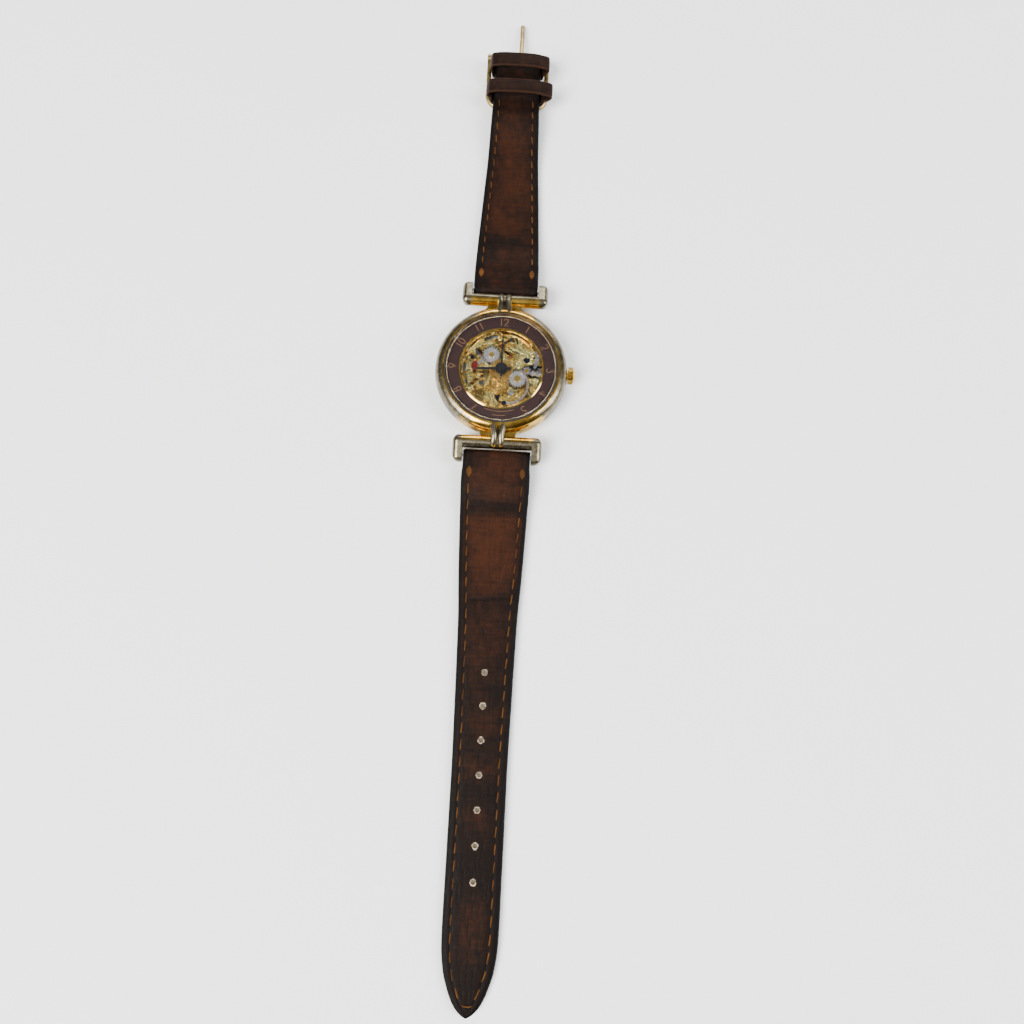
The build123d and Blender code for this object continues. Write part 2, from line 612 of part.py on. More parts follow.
with BuildPart() as train_bridge:
    hull_plate([(*CENTRE, 1.5), (*THIRD, 1.3), (*ESCAPE, 1.2)], BRIDGE_BOTTOM, BRIDGE_TOP)
    hull_plate([(*ESCAPE, 1.2), (*FOURTH, 1.2), (*THIRD, 1.3)], BRIDGE_BOTTOM, BRIDGE_TOP)
    hull_plate([(*THIRD, 1.3), (*PILLARS_TRAIN[0], 1.4), (*FOURTH, 1.2)],
               BRIDGE_BOTTOM, BRIDGE_TOP)
    hull_plate([(*ESCAPE, 1.2), (*PILLARS_TRAIN[1], 1.4), (*FOURTH, 1.2)],
               BRIDGE_BOTTOM, BRIDGE_TOP)
    for x, y in (CENTRE, THIRD, FOURTH, ESCAPE):
        column((x, y), BRIDGE_BOTTOM, BRIDGE_TOP, 0.45, Mode.SUBTRACT)
    column((-0.3, 2.3), BRIDGE_BOTTOM, BRIDGE_TOP, 0.9, Mode.SUBTRACT)
    column((-3.2, 6.4), BRIDGE_BOTTOM, BRIDGE_TOP, 0.8, Mode.SUBTRACT)
    column((2.3, 6.2), BRIDGE_BOTTOM, BRIDGE_TOP, 0.8, Mode.SUBTRACT)
save(train_bridge, "train_bridge")

with BuildPart() as balance_cock:
    hull_plate([(*BALANCE, 1.2), (*PILLAR_BALANCE, 1.6)], BRIDGE_BOTTOM - 0.05, BRIDGE_TOP - 0.1)
    column(PILLAR_BALANCE, BRIDGE_TOP - 0.1, BRIDGE_TOP, 1.15)
    column(BALANCE, BRIDGE_BOTTOM - 0.05, BRIDGE_TOP, 0.45, Mode.SUBTRACT)
save(balance_cock, "balance_cock")

with BuildPart() as pallet_bridge:
    hull_plate([(*PALLET, 0.55), (*PALLET_FOOT, 0.6)], 3.62, 3.82)
    column(PALLET_FOOT, 3.82, PLATE_BOTTOM, 0.6)
    column(PALLET, 3.62, 3.82, 0.16, Mode.SUBTRACT)
save(pallet_bridge, "pallet_bridge")

with BuildPart() as jewels:
    for x, y in (THIRD, FOURTH, ESCAPE):
        tube((x, y), PLATE_TOP - 0.3, PLATE_TOP, 0.45, 0.20)
        tube((x, y), BRIDGE_BOTTOM, BRIDGE_BOTTOM + 0.3, 0.45, 0.14)
    tube(PALLET, PLATE_TOP - 0.3, PLATE_TOP, 0.4, 0.16)
    tube(BALANCE, PLATE_TOP - 0.3, PLATE_TOP, 0.55, 0.24)
    tube(CENTRE, BRIDGE_BOTTOM, BRIDGE_BOTTOM + 0.4, 0.45, 0.29)
    column(BALANCE, BRIDGE_BOTTOM - 0.05, BRIDGE_TOP - 0.15, 0.45)
    column(BALANCE, BRIDGE_BOTTOM + 0.15, BRIDGE_TOP - 0.15, 0.14, Mode.SUBTRACT)
save(jewels, "jewels")

with BuildPart() as movement_screws:
    for x, y in PILLARS_BARREL + PILLARS_TRAIN:
        slotted_screw((x, y), BRIDGE_BOTTOM, 0.8, 0.3, -1)
    slotted_screw(PILLAR_BALANCE, BRIDGE_BOTTOM - 0.05, 0.8, 0.3, -1)
    for x, y in PLATE_SCREWS[:2]:
        column((x, y), PLATE_BOTTOM + 0.05, PLATE_BOTTOM + 0.3, 0.49 if y < 0 else 0.74)
    slotted_screw(PALLET_FOOT, PLATE_TOP, 0.5, 0.2)
    slotted_screw(PLATE_SCREWS[3], 5.25, 0.55, 0.18)
save(movement_screws, "movement_screws")

# =====================================================================================
# Winding and setting work
# =====================================================================================
STEM_PLANE = Plane(origin=(0, 0, STEM_Z), x_dir=(0, 1, 0), z_dir=(1, 0, 0))


def stem_disc(start, end, radius, mode=Mode.ADD):
    """Cylinder along the stem's axis, added or cut."""
    with BuildSketch(STEM_PLANE.offset(start)) as section:
        Circle(radius)
    extrude(section.sketch, amount=end - start, mode=mode)


def face_teeth(position, depth, radius, count):
    """Cuts radial notches into the end face of a pinion on the stem."""
    with BuildSketch(STEM_PLANE.offset(position)) as notches:
        with PolarLocations(radius * 0.75, count):
            Rectangle(radius, 0.28)
    extrude(notches.sketch, amount=depth, mode=Mode.SUBTRACT)


with BuildPart() as crown_tube:
    stem_disc(CASE_BORE + 0.05, 16.2, 1.09)
    stem_disc(CASE_BORE, 16.2, 0.66, Mode.SUBTRACT)
save(crown_tube, "crown_tube")

with BuildPart() as crown:
    with BuildSketch(STEM_PLANE.offset(15.9)):
        with BuildLine():
            Polyline(*[polar(2.02 if step % 4 in (1, 2) else 1.86, step * 90.0 / 24)
                       for step in range(96)], close=True)
        make_face()
    extrude(amount=1.15)
    with BuildSketch(Plane(origin=(0, 0, STEM_Z), x_dir=(1, 0, 0), z_dir=(0, -1, 0))):
        with BuildLine():
            Polyline((17.72, 0), (17.05, 0), (17.05, 1.86))
            ThreePointArc((17.05, 1.86), (17.52, 1.2), (17.72, 0))
        make_face()
    revolve(axis=Axis((0, 0, STEM_Z), (1, 0, 0)))
    stem_disc(15.9, 16.35, 1.25, Mode.SUBTRACT)
    stem_disc(16.3, 16.9, 0.55, Mode.SUBTRACT)
save(crown, "crown")

SLIDING_RADIUS = 1.05
SLIDING_GROOVE = 0.75
with BuildPart() as winding_stem:
    stem_disc(5.4, 6.7, 0.34)
    with BuildSketch(STEM_PLANE.offset(6.7)):
        Rectangle(0.78, 0.78)
    extrude(amount=3.3)
    stem_disc(10.0, 10.17, 0.55)
    stem_disc(10.17, 10.53, 0.3)
    stem_disc(10.53, 16.85, 0.54)
save(winding_stem, "winding_stem")

with BuildPart() as winding_pinion:
    with BuildSketch(STEM_PLANE.offset(8.65)):
        with BuildLine():
            Polyline(*tooth_points(WINDING_TEETH, 0.157, 360.0 / WINDING_TEETH / 2), close=True)
        make_face()
    extrude(amount=1.0)
    face_teeth(8.65, 0.2, 1.2, 6)
    stem_disc(8.65, 9.65, 0.6, Mode.SUBTRACT)
save(winding_pinion, "winding_pinion")

with BuildPart() as sliding_pinion:
    stem_disc(7.25, 8.55, SLIDING_RADIUS)
    with BuildSketch(STEM_PLANE.offset(7.7)):
        Circle(SLIDING_RADIUS + 0.2)
        Circle(SLIDING_GROOVE, mode=Mode.SUBTRACT)
    extrude(amount=0.42, mode=Mode.SUBTRACT)
    face_teeth(7.25, 0.22, SLIDING_RADIUS, 6)
    face_teeth(8.33, 0.22, SLIDING_RADIUS, 6)
    with BuildSketch(STEM_PLANE.offset(7.2)):
        Rectangle(0.86, 0.86)
    extrude(amount=1.4, mode=Mode.SUBTRACT)
save(sliding_pinion, "sliding_pinion")

ratchet_direction = bearing(CROWN_WHEEL, BARREL)
ratchet_phase = meshing_phase(ratchet_direction, 0.0, CROWN_TEETH, RATCHET_TEETH)

with BuildPart() as crown_wheel:
    toothed_disc(CROWN_WHEEL, RATCHET_LEVEL, RATCHET_THICKNESS, CROWN_TEETH, RATCHET_MODULE)
    column(CROWN_WHEEL, RATCHET_LEVEL, RATCHET_LEVEL + RATCHET_THICKNESS, 0.6, Mode.SUBTRACT)
    slotted_screw(CROWN_WHEEL, RATCHET_LEVEL - 0.03, 1.1, 0.2, -1)
save(crown_wheel, "crown_wheel")

with BuildPart() as ratchet_wheel:
    toothed_disc(BARREL, RATCHET_LEVEL, RATCHET_THICKNESS, RATCHET_TEETH, RATCHET_MODULE,
                 ratchet_phase)
    with BuildSketch(Plane((*BARREL, RATCHET_LEVEL))):
        Rectangle(0.84, 0.84)
    extrude(amount=RATCHET_THICKNESS, mode=Mode.SUBTRACT)
    slotted_screw(BARREL, RATCHET_LEVEL, 0.95, 0.2, -1)
save(ratchet_wheel, "ratchet_wheel")

with BuildPart() as barrel_arbor:
    with BuildSketch(Plane((*BARREL, RATCHET_LEVEL + 0.01))):
        Rectangle(0.8, 0.8)
    extrude(amount=RATCHET_THICKNESS + 0.04)
    column(BARREL, BRIDGE_BOTTOM - 0.02, PLATE_TOP - 0.05, 0.56)
    column(BARREL, 2.62, 3.2, 0.95)
save(barrel_arbor, "barrel_arbor")

CLICK = (-3.3, -8.5)
CLICK_SPRING_STUD = (-3.1, -5.3)
CLICK_SPRING_TIP = (-3.51, -7.76)
click_direction = bearing(CLICK, BARREL)
with BuildPart() as click:
    with BuildSketch(Plane((*CLICK, RATCHET_LEVEL), x_dir=(*polar(1, click_direction), 0))):
        Circle(0.62)
        with BuildLine():
            Polyline((0, -0.55), (1.2, -0.45), (1.88, 0.3), (0.9, 0.5), (0, 0.6), close=True)
        make_face()
        Circle(0.3, mode=Mode.SUBTRACT)
    extrude(amount=0.3)
save(click, "click")

with BuildPart() as click_spring:
    column(CLICK_SPRING_STUD, RATCHET_LEVEL + 0.1, BRIDGE_BOTTOM, 0.4)
    hull_plate([(*CLICK_SPRING_STUD, 0.1), (*CLICK_SPRING_TIP, 0.1)],
               RATCHET_LEVEL + 0.1, RATCHET_LEVEL + 0.3)
    column(CLICK, RATCHET_LEVEL - 0.02, BRIDGE_BOTTOM, 0.26)
    column(CLICK, RATCHET_LEVEL - 0.14, RATCHET_LEVEL - 0.02, 0.5)
save(click_spring, "click_spring")

LEVER_PIVOT = (10.0, 2.9)
LEVER_PIN = (10.35, 0.0)
with BuildPart() as setting_lever:
    hull_plate([(*LEVER_PIVOT, 0.55), (*LEVER_PIN, 0.42)], 4.66, 4.9)
    hull_plate([(*LEVER_PIVOT, 0.55), (9.6, 3.75, 0.3)], 4.66, 4.9)
    column(LEVER_PIN, STEM_Z + 0.36, 4.66, 0.12)
    column(LEVER_PIVOT, 4.66, 4.9, 0.27, Mode.SUBTRACT)
save(setting_lever, "setting_lever")

YOKE_PIVOT = (8.6, 4.0)
YOKE_PIN = (7.91, 0.93)
with BuildPart() as yoke:
    hull_plate([(8.05, 4.6, 0.4), (*YOKE_PIVOT, 0.5)], 4.95, 5.15)
    hull_plate([(*YOKE_PIVOT, 0.5), (*YOKE_PIN, 0.35)], 4.95, 5.15)
    column(YOKE_PIN, STEM_Z + 0.1, 4.95, 0.12)
    column(YOKE_PIVOT, 4.95, 5.15, 0.27, Mode.SUBTRACT)
save(yoke, "yoke")

JUMPER_CENTRE = (1.85, -3.75)
with BuildPart() as setting_jumper:
    with BuildSketch(Plane.XY.offset(5.16)):
        SlotArc(CenterArc(JUMPER_CENTRE, 4.55, -98, 150), 0.55)
    extrude(amount=0.09)
    column(PLATE_SCREWS[3], PLATE_TOP, 5.16, 0.4)
    column(LEVER_PIVOT, PLATE_TOP, 5.05, 0.24)
    column(YOKE_PIVOT, PLATE_TOP, 5.3, 0.24)
save(setting_jumper, "setting_jumper")

# =====================================================================================
# Going train
# =====================================================================================
barrel_phase = 0.0
centre_direction = bearing(BARREL, CENTRE)
centre_pinion_phase = meshing_phase(centre_direction, barrel_phase, BARREL_TEETH,
                                    CENTRE_PINION_TEETH)
third_pinion_phase = meshing_phase(bearing(CENTRE, THIRD), 0.0, CENTRE_TEETH,
                                   THIRD_PINION_TEETH)
fourth_pinion_phase = meshing_phase(bearing(THIRD, FOURTH), 0.0, THIRD_TEETH,
                                    FOURTH_PINION_TEETH)
escape_pinion_phase = meshing_phase(bearing(FOURTH, ESCAPE), 0.0, FOURTH_TEETH,
                                    ESCAPE_PINION_TEETH)

with BuildPart() as barrel:
    toothed_disc(BARREL, 2.45, 0.3, BARREL_TEETH, BARREL_MODULE, barrel_phase)
    column(BARREL, 2.75, 3.36, 4.95)
    column(BARREL, 2.57, 3.24, 4.6, Mode.SUBTRACT)
    column(BARREL, 2.45, 3.36, 0.62, Mode.SUBTRACT)
save(barrel, "barrel")

with BuildPart() as mainspring:
    spiral_strip(BARREL, 2.65, 0.5, 1.12, 4.4, 7, 0.16)
save(mainspring, "mainspring")

with BuildPart() as centre_wheel:
    column(CENTRE, BRIDGE_BOTTOM + 0.05, 6.2, 0.25)
    column(CENTRE, 2.45, 6.2, 0.39)
    toothed_disc(CENTRE, 2.47, 0.35, CENTRE_PINION_TEETH, BARREL_MODULE, centre_pinion_phase)
    toothed_disc(CENTRE, 3.42, 0.14, CENTRE_TEETH, CENTRE_MODULE)
    crossings(CENTRE, 3.42, 3.56, 0.9, 2.95, 5, 0.45)
save(centre_wheel, "centre_wheel")

with BuildPart() as third_wheel:
    column(THIRD, BRIDGE_BOTTOM + 0.05, PLATE_TOP - 0.02, 0.10)
    column(THIRD, 2.45, PLATE_TOP - 0.4, 0.17)
    toothed_disc(THIRD, 3.38, 0.25, THIRD_PINION_TEETH, CENTRE_MODULE, third_pinion_phase)
    toothed_disc(THIRD, 2.95, 0.13, THIRD_TEETH, THIRD_MODULE)
    crossings(THIRD, 2.95, 3.08, 0.7, 2.5, 4, 0.35)
save(third_wheel, "third_wheel")

with BuildPart() as fourth_wheel:
    column(FOURTH, BRIDGE_BOTTOM + 0.05, PLATE_TOP - 0.02, 0.10)
    column(FOURTH, 2.45, PLATE_TOP - 0.4, 0.17)
    toothed_disc(FOURTH, 2.9, 0.25, FOURTH_PINION_TEETH, THIRD_MODULE, fourth_pinion_phase)
    toothed_disc(FOURTH, 2.55, 0.13, FOURTH_TEETH, FOURTH_MODULE)
    crossings(FOURTH, 2.55, 2.68, 0.6, 2.45, 4, 0.3, 45)
save(fourth_wheel, "fourth_wheel")

with BuildPart() as escape_wheel:
    column(ESCAPE, BRIDGE_BOTTOM + 0.05, 2.45, 0.10)
    column(ESCAPE, 2.45, 5.0, 0.15)
    toothed_disc(ESCAPE, 2.5, 0.25, ESCAPE_PINION_TEETH, FOURTH_MODULE, escape_pinion_phase)
    with BuildSketch(Plane((*ESCAPE, 4.72))):
        with BuildLine():
            Polyline(*[polar(radius, (tooth + share) * 360.0 / ESCAPE_TEETH)
                       for tooth in range(ESCAPE_TEETH)
                       for radius, share in ((1.68, -0.34), (ESCAPE_TIP, -0.03),
                                             (ESCAPE_TIP, 0.07), (1.68, 0.30))], close=True)
        make_face()
    extrude(amount=0.2)
    column(ESCAPE, 4.92, 5.03, 0.72)
save(escape_wheel, "escape_wheel")

# =====================================================================================
# Escapement and balance
# =====================================================================================
PALLET_LEVEL = 5.06
entry_angle = 31.5
with BuildPart() as pallet_fork:
    column(PALLET, 3.64, PALLET_LEVEL, 0.11)
    fork_end = polar(1.75, pallet_direction, PALLET)
    entry_tip = polar(2.35, pallet_direction - entry_angle, ESCAPE)
    exit_tip = polar(2.35, pallet_direction + entry_angle, ESCAPE)
    hull_plate([(*PALLET, 0.34), (*fork_end, 0.22)], PALLET_LEVEL, PALLET_LEVEL + 0.14)
    hull_plate([(*PALLET, 0.34), (*entry_tip, 0.22)], PALLET_LEVEL, PALLET_LEVEL + 0.14)
    hull_plate([(*PALLET, 0.34), (*exit_tip, 0.22)], PALLET_LEVEL, PALLET_LEVEL + 0.14)
    for direction in (-16, 16):
        horn = polar(1.95, pallet_direction + direction / 2.2, PALLET)
        hull_plate([(*fork_end, 0.16), (*horn, 0.1)], PALLET_LEVEL, PALLET_LEVEL + 0.14)
    with BuildSketch(Plane((*PALLET, PALLET_LEVEL), x_dir=(*polar(1, pallet_direction), 0))):
        with Locations((1.85, 0)):
            Rectangle(0.6, 0.2)
    extrude(amount=0.14, mode=Mode.SUBTRACT)
save(pallet_fork, "pallet_fork")

with BuildPart() as pallet_stones:
    for tip in (entry_tip, exit_tip):
        with BuildSketch(Plane((*tip, PALLET_LEVEL + 0.14),
                               x_dir=(*polar(1, bearing(tip, PALLET)), 0))):
            Rectangle(0.55, 0.24)
        extrude(amount=0.12)
save(pallet_stones, "pallet_stones")

with BuildPart() as balance_wheel:
    column(BALANCE, BRIDGE_TOP - 0.33, 5.3, 0.10)
    column(BALANCE, 2.45, 5.3, 0.2)
    tube(BALANCE, 2.9, 3.25, 3.3, 2.8)
    column(BALANCE, 2.95, 3.15, 0.55)
    with BuildSketch(Plane((*BALANCE, 2.95))):
        for turn in (20, 80, 140):
            Rectangle(5.8, 0.38, rotation=turn)
    extrude(amount=0.16)
    with BuildSketch(Plane((*BALANCE, 3.0))):
        with PolarLocations(3.36, 14):
            Rectangle(0.34, 0.22)
    extrude(amount=0.16)
save(balance_wheel, "balance_wheel")

with BuildPart() as roller_jewel:
    with BuildSketch(Plane((*BALANCE, 5.3))):
        Ellipse(0.72, 1.2, rotation=-8)
    extrude(amount=0.16)
    column(polar(0.62, pallet_direction + 180, BALANCE), 5.24, 5.3, 0.1)
save(roller_jewel, "roller_jewel")

with BuildPart() as hairspring:
    spiral_strip(BALANCE, 2.5, 0.16, 0.42, 2.1, 9, 0.06, 200)
save(hairspring, "hairspring")

# =====================================================================================
# Strap, keepers and buckle
# =====================================================================================
with BuildPart() as strap_6:
    with BuildSketch(Plane.YZ):
        with BuildLine():
            Spline((-SPRING_BAR_Y, SPRING_BAR_Z + STRAP_NOSE), (-27, 4.35), (-33, 3.05),
                   (-STRAP_SETTLE_Y - 6, 2.4), (-60, 2.25), tangents=((-1, 0), (-1, 0)))
            Line((-60, 2.25), (-TAIL_END, 2.0))
            Line((-TAIL_END, 2.0), (-TAIL_END, 0))
            Line((-TAIL_END, 0), (-STRAP_SETTLE_Y, 0))
            Spline((-STRAP_SETTLE_Y, 0), (-31, 0.42), (-25.5, 1.45),
                   (-SPRING_BAR_Y, SPRING_BAR_Z - STRAP_NOSE), tangents=((1, 0), (1, 0)))
            ThreePointArc((-SPRING_BAR_Y, SPRING_BAR_Z - STRAP_NOSE),
                          (-SPRING_BAR_Y + STRAP_NOSE, SPRING_BAR_Z),
                          (-SPRING_BAR_Y, SPRING_BAR_Z + STRAP_NOSE))
        make_face()
    extrude(amount=9, both=True)
    with BuildSketch(Plane.XY.offset(-1)):
        with BuildLine():
            right = [(7.85, -19), (7.85, -22.8), (8.1, -26), (7.8, -36), (7.35, -47.6), (6.7, -59),
                     (6.5, -70), (6.3, -81), (6.15, -92), (6.1, -122), (6.0, -127)]
            Polyline(*right)
            Spline((6.0, -127), (5.45, -131.8), (3.1, -138.3), (0, -TAIL_END),
                   tangents=((-0.05, -1), (-1, 0)))
            Line((0, -TAIL_END), (0, -19))
            Line((0, -19), right[0])
        make_face()
        mirror(about=Plane.YZ)
    extrude(amount=9, mode=Mode.INTERSECT)
    with BuildSketch(Plane.XY.offset(-1)):
        with Locations([(0, -TAIL_HOLE_FIRST - TAIL_HOLE_PITCH * n) for n in range(TAIL_HOLES)]):
            Circle(TAIL_HOLE_RADIUS)
    extrude(amount=6, mode=Mode.SUBTRACT)
    with BuildSketch(Plane.YZ.offset(-9)):
        with Locations((-SPRING_BAR_Y, SPRING_BAR_Z)):
            Circle(SPRING_BAR_RADIUS + 0.05)
    extrude(amount=18, mode=Mode.SUBTRACT)
save(strap_6, "strap_6")

with BuildPart() as strap_12:
    with BuildSketch(Plane.YZ):
        with BuildLine():
            Spline((SPRING_BAR_Y, SPRING_BAR_Z + STRAP_NOSE), (27, 4.35), (33, 3.05),
                   (STRAP_SETTLE_Y + 6, 2.4), (52, 2.3), tangents=((1, 0), (1, 0)))
            Spline((52, 2.3), (60.5, 3.2), (69.5, RAISED_STRAP_TOP), tangents=((1, 0), (1, 0)))
            Line((69.5, RAISED_STRAP_TOP), (84.5, RAISED_STRAP_TOP))
            Spline((84.5, RAISED_STRAP_TOP), (BUCKLE_PIN_Y, BUCKLE_PIN_Z + BUCKLE_END),
                   tangents=((1, 0), (1, -0.3)))
            ThreePointArc((BUCKLE_PIN_Y, BUCKLE_PIN_Z + BUCKLE_END),
                          (BUCKLE_PIN_Y + BUCKLE_END, BUCKLE_PIN_Z),
                          (BUCKLE_PIN_Y, BUCKLE_PIN_Z - BUCKLE_END))
            Spline((BUCKLE_PIN_Y, BUCKLE_PIN_Z - BUCKLE_END), (84.7, RAISED_STRAP_BOTTOM),
                   tangents=((-1, 0), (-1, 0)))
            Line((84.7, RAISED_STRAP_BOTTOM), (69.5, RAISED_STRAP_BOTTOM))
            Spline((69.5, RAISED_STRAP_BOTTOM), (62.5, 1.35), (55, 0), tangents=((-1, 0), (-1, 0)))
            Line((55, 0), (STRAP_SETTLE_Y, 0))
            Spline((STRAP_SETTLE_Y, 0), (31, 0.42), (25.5, 1.45),
                   (SPRING_BAR_Y, SPRING_BAR_Z - STRAP_NOSE), tangents=((-1, 0), (-1, 0)))
            ThreePointArc((SPRING_BAR_Y, SPRING_BAR_Z - STRAP_NOSE),
                          (SPRING_BAR_Y - STRAP_NOSE, SPRING_BAR_Z),
                          (SPRING_BAR_Y, SPRING_BAR_Z + STRAP_NOSE))
        make_face()
    extrude(amount=9, both=True)
    with BuildSketch(Plane.XY.offset(-1)):
        with BuildLine():
            left = [(0, 19), (7.85, 19), (7.85, 24), (7.7, 32), (7.35, 40), (6.93, 48.7), (6.48, 57),
                    (6.15, 66), (6.0, 71), (5.95, 88), (0, 88)]
            Polyline(*left, close=True)
        make_face()
        mirror(about=Plane.YZ)
    extrude(amount=9, mode=Mode.INTERSECT)
    with BuildSketch(Plane.XY.offset(1.0)):
        with Locations((PRONG_X, BUCKLE_PIN_Y + 0.7)):
            Rectangle(1.8, 4.0)
    extrude(amount=5, mode=Mode.SUBTRACT)
    with BuildSketch(Plane.YZ.offset(-9)):
        with Locations((SPRING_BAR_Y, SPRING_BAR_Z)):
            Circle(SPRING_BAR_RADIUS + 0.05)
        with Locations((BUCKLE_PIN_Y, BUCKLE_PIN_Z)):
            Circle(BUCKLE_PIN_RADIUS + 0.03)
    extrude(amount=18, mode=Mode.SUBTRACT)
save(strap_12, "strap_12")

def keeper(start, bottom, left, right, shoulder, top):
    """Leather loop around the strap: narrow beside the strap, bulging above it."""
    with BuildPart() as loop:
        with BuildSketch(Plane(origin=(0, start, 0), x_dir=(1, 0, 0), z_dir=(0, -1, 0))):
            for side, bulge in ((1, right), (-1, left)):
                waist = side * KEEPER_WAIST
                with BuildLine():
                    Polyline((0, bottom), (waist - side * 0.5, bottom), (waist, bottom + 0.5),
                             (waist, KEEPER_FLARE_Z))
                    ThreePointArc((waist, KEEPER_FLARE_Z), (side * bulge, 5.4),
                                  (side * shoulder, top - 0.25))
                    ThreePointArc((side * shoulder, top - 0.25), (side * shoulder / 2, top - 0.06),
                                  (0, top))
                    Line((0, top), (0, bottom))
                make_face()
            offset(amount=-KEEPER_THICKNESS, mode=Mode.SUBTRACT)
        extrude(amount=-KEEPER_WIDTH)
    return loop


fixed_keeper = keeper(FIXED_KEEPER_Y, RAISED_STRAP_BOTTOM - KEEPER_THICKNESS, 7.1, 8.1, 5.6, 7.5)
save(fixed_keeper, "fixed_keeper")
free_keeper = keeper(FREE_KEEPER_Y, KEEPER_BOTTOM, 7.6, 9.1, 6.0, 7.6)
save(free_keeper, "free_keeper")

slope = radians(FRAME_SLOPE)
BUCKLE_PLANE = Plane(origin=(0, BUCKLE_PIN_Y, BUCKLE_PIN_Z), x_dir=(1, 0, 0),
                     z_dir=(0, sin(slope), -cos(slope)))
with BuildPart() as buckle_frame:
    with BuildLine(BUCKLE_PLANE) as rod_path:
        FilletPolyline((-FRAME_HALF_WIDTH, 0.9), (-FRAME_HALF_WIDTH, FRAME_LENGTH),
                       (FRAME_HALF_WIDTH, FRAME_LENGTH), (FRAME_HALF_WIDTH, 0.9),
                       radius=FRAME_CORNER)
    with BuildSketch(Plane(origin=rod_path.line @ 0, z_dir=rod_path.line % 0)):
        Circle(FRAME_ROD)
    sweep()
    for middle in (-FRAME_HALF_WIDTH, FRAME_HALF_WIDTH):
        with BuildSketch(Plane.YZ.offset(middle)):
            with Locations((BUCKLE_PIN_Y, BUCKLE_PIN_Z)):
                Circle(FRAME_EYE)
        extrude(amount=FRAME_ROD * 0.9, both=True)
    with BuildSketch(Plane.YZ.offset(-9)):
        with Locations((BUCKLE_PIN_Y, BUCKLE_PIN_Z)):
            Circle(BUCKLE_PIN_RADIUS + 0.05)
    extrude(amount=18, mode=Mode.SUBTRACT)
save(buckle_frame, "buckle_frame")

with BuildPart() as buckle_pin:
    with BuildSketch(Plane.YZ.offset(-FRAME_HALF_WIDTH - FRAME_ROD)):
        with Locations((BUCKLE_PIN_Y, BUCKLE_PIN_Z)):
            Circle(BUCKLE_PIN_RADIUS)
    extrude(amount=2 * (FRAME_HALF_WIDTH + FRAME_ROD))
save(buckle_pin, "buckle_pin")

drop = radians(PRONG_SLOPE)
with BuildPart() as buckle_prong:
    with BuildSketch(Plane.YZ.offset(PRONG_X - 0.65)):
        with Locations((BUCKLE_PIN_Y, BUCKLE_PIN_Z)):
            Circle(1.05)
    extrude(amount=1.3)
    with BuildSketch(Plane(origin=(PRONG_X, BUCKLE_PIN_Y, BUCKLE_PIN_Z), x_dir=(1, 0, 0),
                           z_dir=(0, cos(drop), -sin(drop)))):
        Circle(PRONG_RADIUS)
    extrude(amount=PRONG_LENGTH)
    fillet(buckle_prong.edges().group_by(Axis.Y)[-1], radius=PRONG_RADIUS * 0.8)
    with BuildSketch(Plane.YZ.offset(-2)):
        with Locations((BUCKLE_PIN_Y, BUCKLE_PIN_Z)):
            Circle(BUCKLE_PIN_RADIUS + 0.05)
    extrude(amount=4, mode=Mode.SUBTRACT)
save(buckle_prong, "buckle_prong")
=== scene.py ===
import math

import bmesh
import bpy
import numpy as np
from mathutils import Matrix, Vector


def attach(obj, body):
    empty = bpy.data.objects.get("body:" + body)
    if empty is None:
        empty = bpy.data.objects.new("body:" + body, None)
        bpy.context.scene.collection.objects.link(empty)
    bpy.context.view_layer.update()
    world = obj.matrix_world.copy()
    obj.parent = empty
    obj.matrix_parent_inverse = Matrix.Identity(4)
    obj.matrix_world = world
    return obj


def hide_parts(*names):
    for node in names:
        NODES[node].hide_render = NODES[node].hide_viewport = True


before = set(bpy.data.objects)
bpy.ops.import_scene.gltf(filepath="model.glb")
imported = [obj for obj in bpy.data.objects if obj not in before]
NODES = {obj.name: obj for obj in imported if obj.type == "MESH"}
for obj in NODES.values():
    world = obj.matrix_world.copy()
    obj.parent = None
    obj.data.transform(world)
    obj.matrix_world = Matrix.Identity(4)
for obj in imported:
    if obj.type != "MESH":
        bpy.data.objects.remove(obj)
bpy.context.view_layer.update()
MM = 0.001

# places in millimetres, shared by the materials and the strap
ESCAPE = (-2.5, 3.6)
SETTING = (3.9, -2.1)
SMALL_SETTING = (6.04, 0.0)
SPRING_BAR_Y, SPRING_BAR_Z, SPRING_BAR_BORE = 20.95, 3.4, 0.8
BUCKLE_PIN_Y, BUCKLE_PIN_Z, BUCKLE_PIN_BORE = 86.0, 2.95, 0.53
HOLE_FIRST, HOLE_PITCH, HOLE_RADIUS, HOLE_COUNT = 70.4, 7.3, 0.62, 7
STRAP_START = 19.0

# ---------------------------------------------------------------- camera
CAMERA_LENS = 28.53
CAMERA_PLACE = (2.404, -70.971, 186.552)
CAMERA_TURN = (("Z", 2.86), ("Y", -1.16), ("X", 11.40))
camera_data = bpy.data.cameras.new("camera")
camera = bpy.data.objects.new("camera", camera_data)
bpy.context.collection.objects.link(camera)
bpy.context.scene.camera = camera
camera_data.lens = CAMERA_LENS
camera_data.sensor_width = 36.0
camera_data.clip_start = 0.01
camera_matrix = Matrix.Translation(Vector(CAMERA_PLACE) * MM)
for axis, degrees in CAMERA_TURN:
    camera_matrix = camera_matrix @ Matrix.Rotation(math.radians(degrees), 4, axis)
camera.matrix_world = camera_matrix


